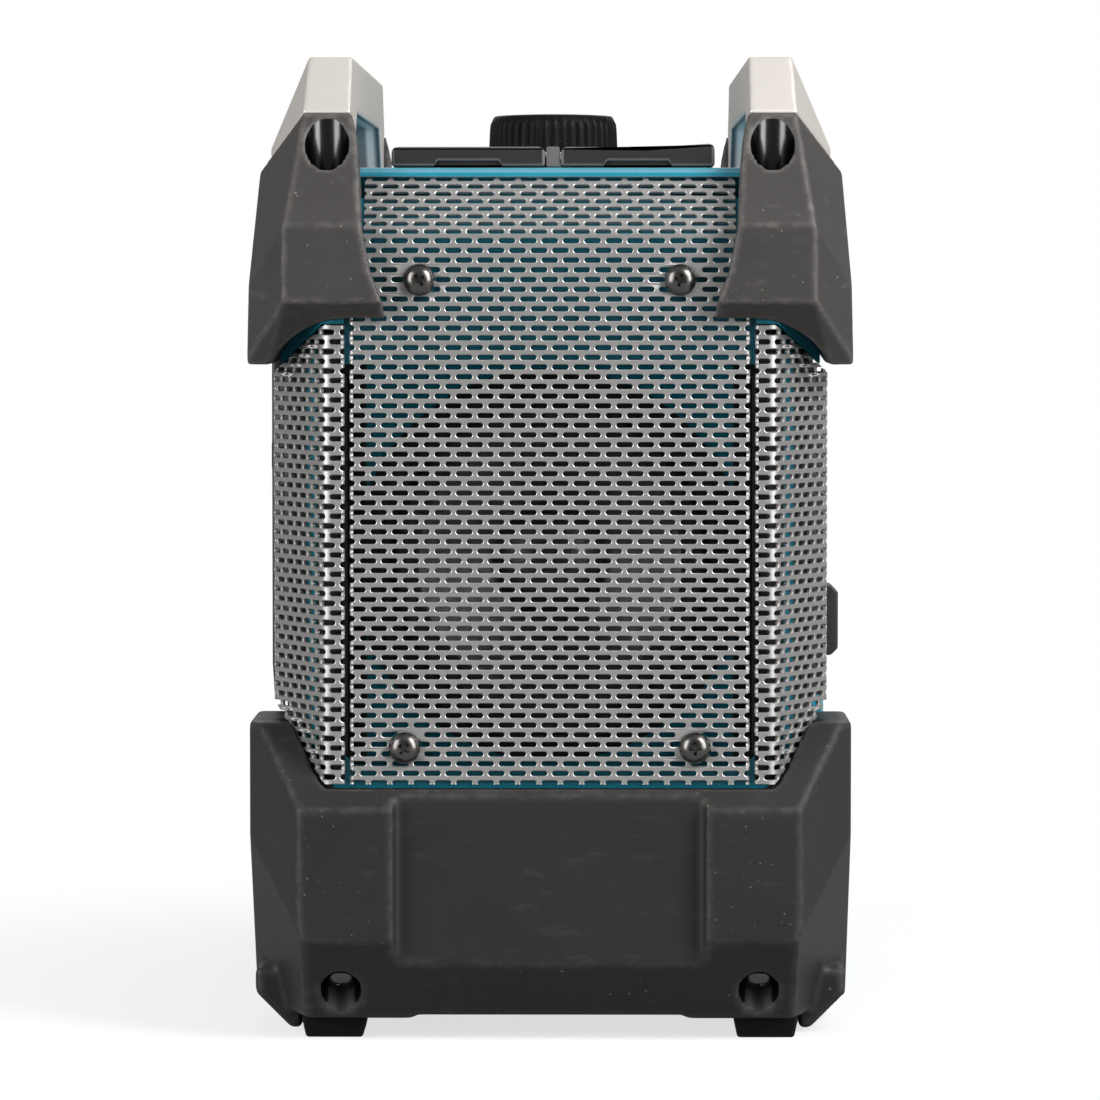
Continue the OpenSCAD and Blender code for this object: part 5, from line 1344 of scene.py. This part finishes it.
def knob_profile(radius, z0, z1, shaft, bore):
    """Points (radius, height, share of the groove's depth) from the top's middle to the bore's end."""
    dome = [(radius * out, z1 - 0.7 * MM * out * out, 0) for out in (0.25, 0.5, 0.72, 0.84)]
    side = [(2.1, z1 - 0.62 * MM, 0), (1.7, z1 - 0.95 * MM, 0.1), (0.95, z1 - 2.5 * MM, 0.9),
            (0.7, z1 - 3.0 * MM, 1), (0.5, z1 - 5 * MM, 1), (0.1, z0 + 1.2 * MM, 1),
            (0.05, z0 + 0.5 * MM, 0.4), (0.4, z0, 0)]
    side = [(radius - inset * MM, z, share) for inset, z, share in side]
    return [(0, z1, 0)] + dome + side + [(shaft, z0, 0), (shaft, bore, 0), (0, bore, 0)]


def knob_sector(profile, radius, ribs, steps=8, groove=0.42 * MM):
    """One rib's share of the knob, with a groove down its middle."""
    work = bmesh.new()
    rows = []
    for out, z, share in profile:
        row = []
        for i in range(steps + 1):
            turn = 2 * math.pi / ribs * i / steps
            off = (i / steps - 0.5) * 2 * math.pi * radius / ribs / groove
            cut = out - share * groove * math.exp(-off * off)
            row.append(work.verts.new((cut * math.cos(turn), cut * math.sin(turn), z)))
        rows.append(row)
    for one, two in zip(rows, rows[1:]):
        for i in range(steps):
            work.faces.new([one[i], two[i], two[i + 1], one[i + 1]])
    bmesh.ops.remove_doubles(work, verts=work.verts, dist=1e-7)
    return new_object("knob_sector", mesh_from(work, "knob_sector"))


class RADIO_OT_knob(bpy.types.Operator):
    """Makes the volume knob with its ribbed side and domed top"""
    bl_idname = "radio.knob"
    bl_label = "Volume Knob"

    def execute(self, context):
        ribs = 40
        radius = high("volume_knob").x
        z0, z1 = low("volume_knob").z, high("volume_knob").z
        # the knob clears its shaft all round and above
        shaft = high("encoder_shaft").x + 0.06 * MM
        bore = high("encoder_shaft").z + 0.1 * MM
        sector = knob_sector(knob_profile(radius, z0, z1, shaft, bore), radius, ribs)
        made = new_object("ribbed_knob", bpy.data.meshes.new("ribbed_knob"))
        black = bpy.data.materials["Knob rubber"]
        run_nodes(made, knob_tree(), Sector=sector, Ribs=ribs, Material=black)
        baked(made)
        tidy_faces(made.data)
        bpy.data.objects.remove(sector)
        middle = (low("encoder_shaft") + high("encoder_shaft")) / 2
        made.data.transform(Matrix.Translation((middle.x, middle.y, 0)))
        place_piece(made, "volume_knob", black, 35)
        return {"FINISHED"}


# ---------------------------------------------------------------- stage
def softbox(name, place, aim, size, power):
    """A lit panel that faces a point."""
    lamp = bpy.data.lights.new(name, "AREA")
    lamp.shape = "RECTANGLE"
    lamp.size, lamp.size_y = size
    lamp.energy = power
    made = new_object(name, lamp)
    made.location = place
    made.rotation_euler = (Vector(aim) - Vector(place)).to_track_quat("-Z", "Y").to_euler()


def studio_floor():
    """Light floor that fades to the white background away from the radio and throws little light back."""
    f = Finish("Studio floor")
    path = f.node("ShaderNodeLightPath")
    seen = path + f.other(path, "Is Transmission Ray") + f.other(path, "Is Glossy Ray") * 0.25
    seen = f.clamp(seen, 0.0, 1.0)
    lit = f.mix(f.noise(0.4, 2), (0.86, 0.86, 0.86, 1), (0.89, 0.89, 0.89, 1))
    f.set(Base_Color=f.mix(seen, (0.09, 0.09, 0.09, 1), lit), Roughness=0.9)
    x, y, z = f.parts(f.place)
    far = 0.7 + f.band(f.fn("SQRT", x * x + y * y), 0.12, 0.32) * 0.3
    glow = f.node("ShaderNodeEmission", None, {"Color": (1, 1, 1, 1), "Strength": 1.0})
    plain = Sig(f, f.shader.outputs[0])
    mixed = f.node("ShaderNodeMixShader", None, [seen * far, plain, glow])
    f.tree.links.new(mixed.socket, f.tree.nodes["Material Output"].inputs[0])
    return f.material


def studio_world(scene, fill):
    """White background that lights the radio less than it shows to the camera."""
    world = bpy.data.worlds.new("Studio")
    scene.world = world
    world.use_nodes = True
    w = Tree(world.node_tree)
    path = w.node("ShaderNodeLightPath")
    seen = w.clamp(path + w.other(path, "Is Transmission Ray"), 0.0, 1.0)
    strength = fill + seen * (1.0 - fill)
    back = world.node_tree.nodes["Background"]
    back.inputs["Color"].default_value = (1, 1, 1, 1)
    world.node_tree.links.new(strength.socket, back.inputs["Strength"])


class RADIO_OT_stage(bpy.types.Operator):
    """Lays the floor and sets up the lights and the camera"""
    bl_idname = "radio.stage"
    bl_label = "Stage"

    def execute(self, context):
        studio = context.scene.radio_studio
        work = bmesh.new()
        bmesh.ops.create_grid(work, x_segments=2, y_segments=2, size=6)
        floor = new_object("floor", mesh_from(work, "floor"))
        floor.data.materials.append(studio_floor())
        studio_world(context.scene, studio.fill)
        aim = (0.1, 0, 0.14)
        softbox("Top light", (0.3, 0.0, 1.6), aim, (2.6, 2.2), 4.5)
        softbox("Left light", (0.95, -1.25, 0.5), aim, (0.8, 1.5), 30)
        softbox("Right light", (0.95, 1.25, 0.8), aim, (0.8, 1.5), 37)
        softbox("High light", (0.4, 0.4, 0.62), (0.12, 0.06, 0.25), (0.25, 0.25), 2.6)
        softbox("Rear light", (-1.3, 0.0, 1.0), aim, (1.4, 0.8), 8)
        camera = new_object("Camera", bpy.data.cameras.new("Camera"))
        camera.data.lens = studio.lens
        camera.data.sensor_width = 36
        camera.location = (studio.camera_x, studio.camera_y, studio.camera_z)
        look = Vector((-1, -math.tan(studio.pan), -math.tan(studio.tilt)))
        camera.rotation_euler = look.to_track_quat("-Z", "Y").to_euler()
        context.scene.camera = camera
        context.scene.view_settings.view_transform = "Standard"
        return {"FINISHED"}


class RADIO_PT_panel(bpy.types.Panel):
    """Lists what the radio is made of"""
    bl_idname = "RADIO_PT_panel"
    bl_label = "Jobsite Radio"
    bl_space_type = "VIEW_3D"
    bl_region_type = "UI"
    bl_category = "Radio"

    def draw(self, context):
        for name, kind in GROUPS:
            group = getattr(context.scene, name)
            box = self.layout.box()
            for prop in group.bl_rna.properties:
                if prop.identifier not in ("rna_type", "name"):
                    box.prop(group, prop.identifier)
        for operator in STEPS:
            self.layout.operator(operator.bl_idname)


STEPS = (RADIO_OT_finishes, RADIO_OT_end_grilles, RADIO_OT_corner_grilles, RADIO_OT_rubber,
         RADIO_OT_handles, RADIO_OT_mouldings, RADIO_OT_screws, RADIO_OT_knob, RADIO_OT_stage)
GROUPS = (("radio_sheets", RadioSheets), ("radio_edges", RadioEdges), ("radio_colours", RadioColours),
          ("radio_studio", RadioStudio))


def register():
    for name, group in GROUPS:
        bpy.utils.register_class(group)
        setattr(bpy.types.Scene, name, PointerProperty(type=group))
    for kind in STEPS + (RADIO_PT_panel,):
        bpy.utils.register_class(kind)


def unregister():
    for kind in reversed(STEPS + (RADIO_PT_panel,)):
        bpy.utils.unregister_class(kind)
    for name, group in reversed(GROUPS):
        delattr(bpy.types.Scene, name)
        bpy.utils.unregister_class(group)


def main():
    register()
    for step in STEPS:
        area, name = step.bl_idname.split(".")
        getattr(getattr(bpy.ops, area), name)()


if __name__ == "__main__":
    main()
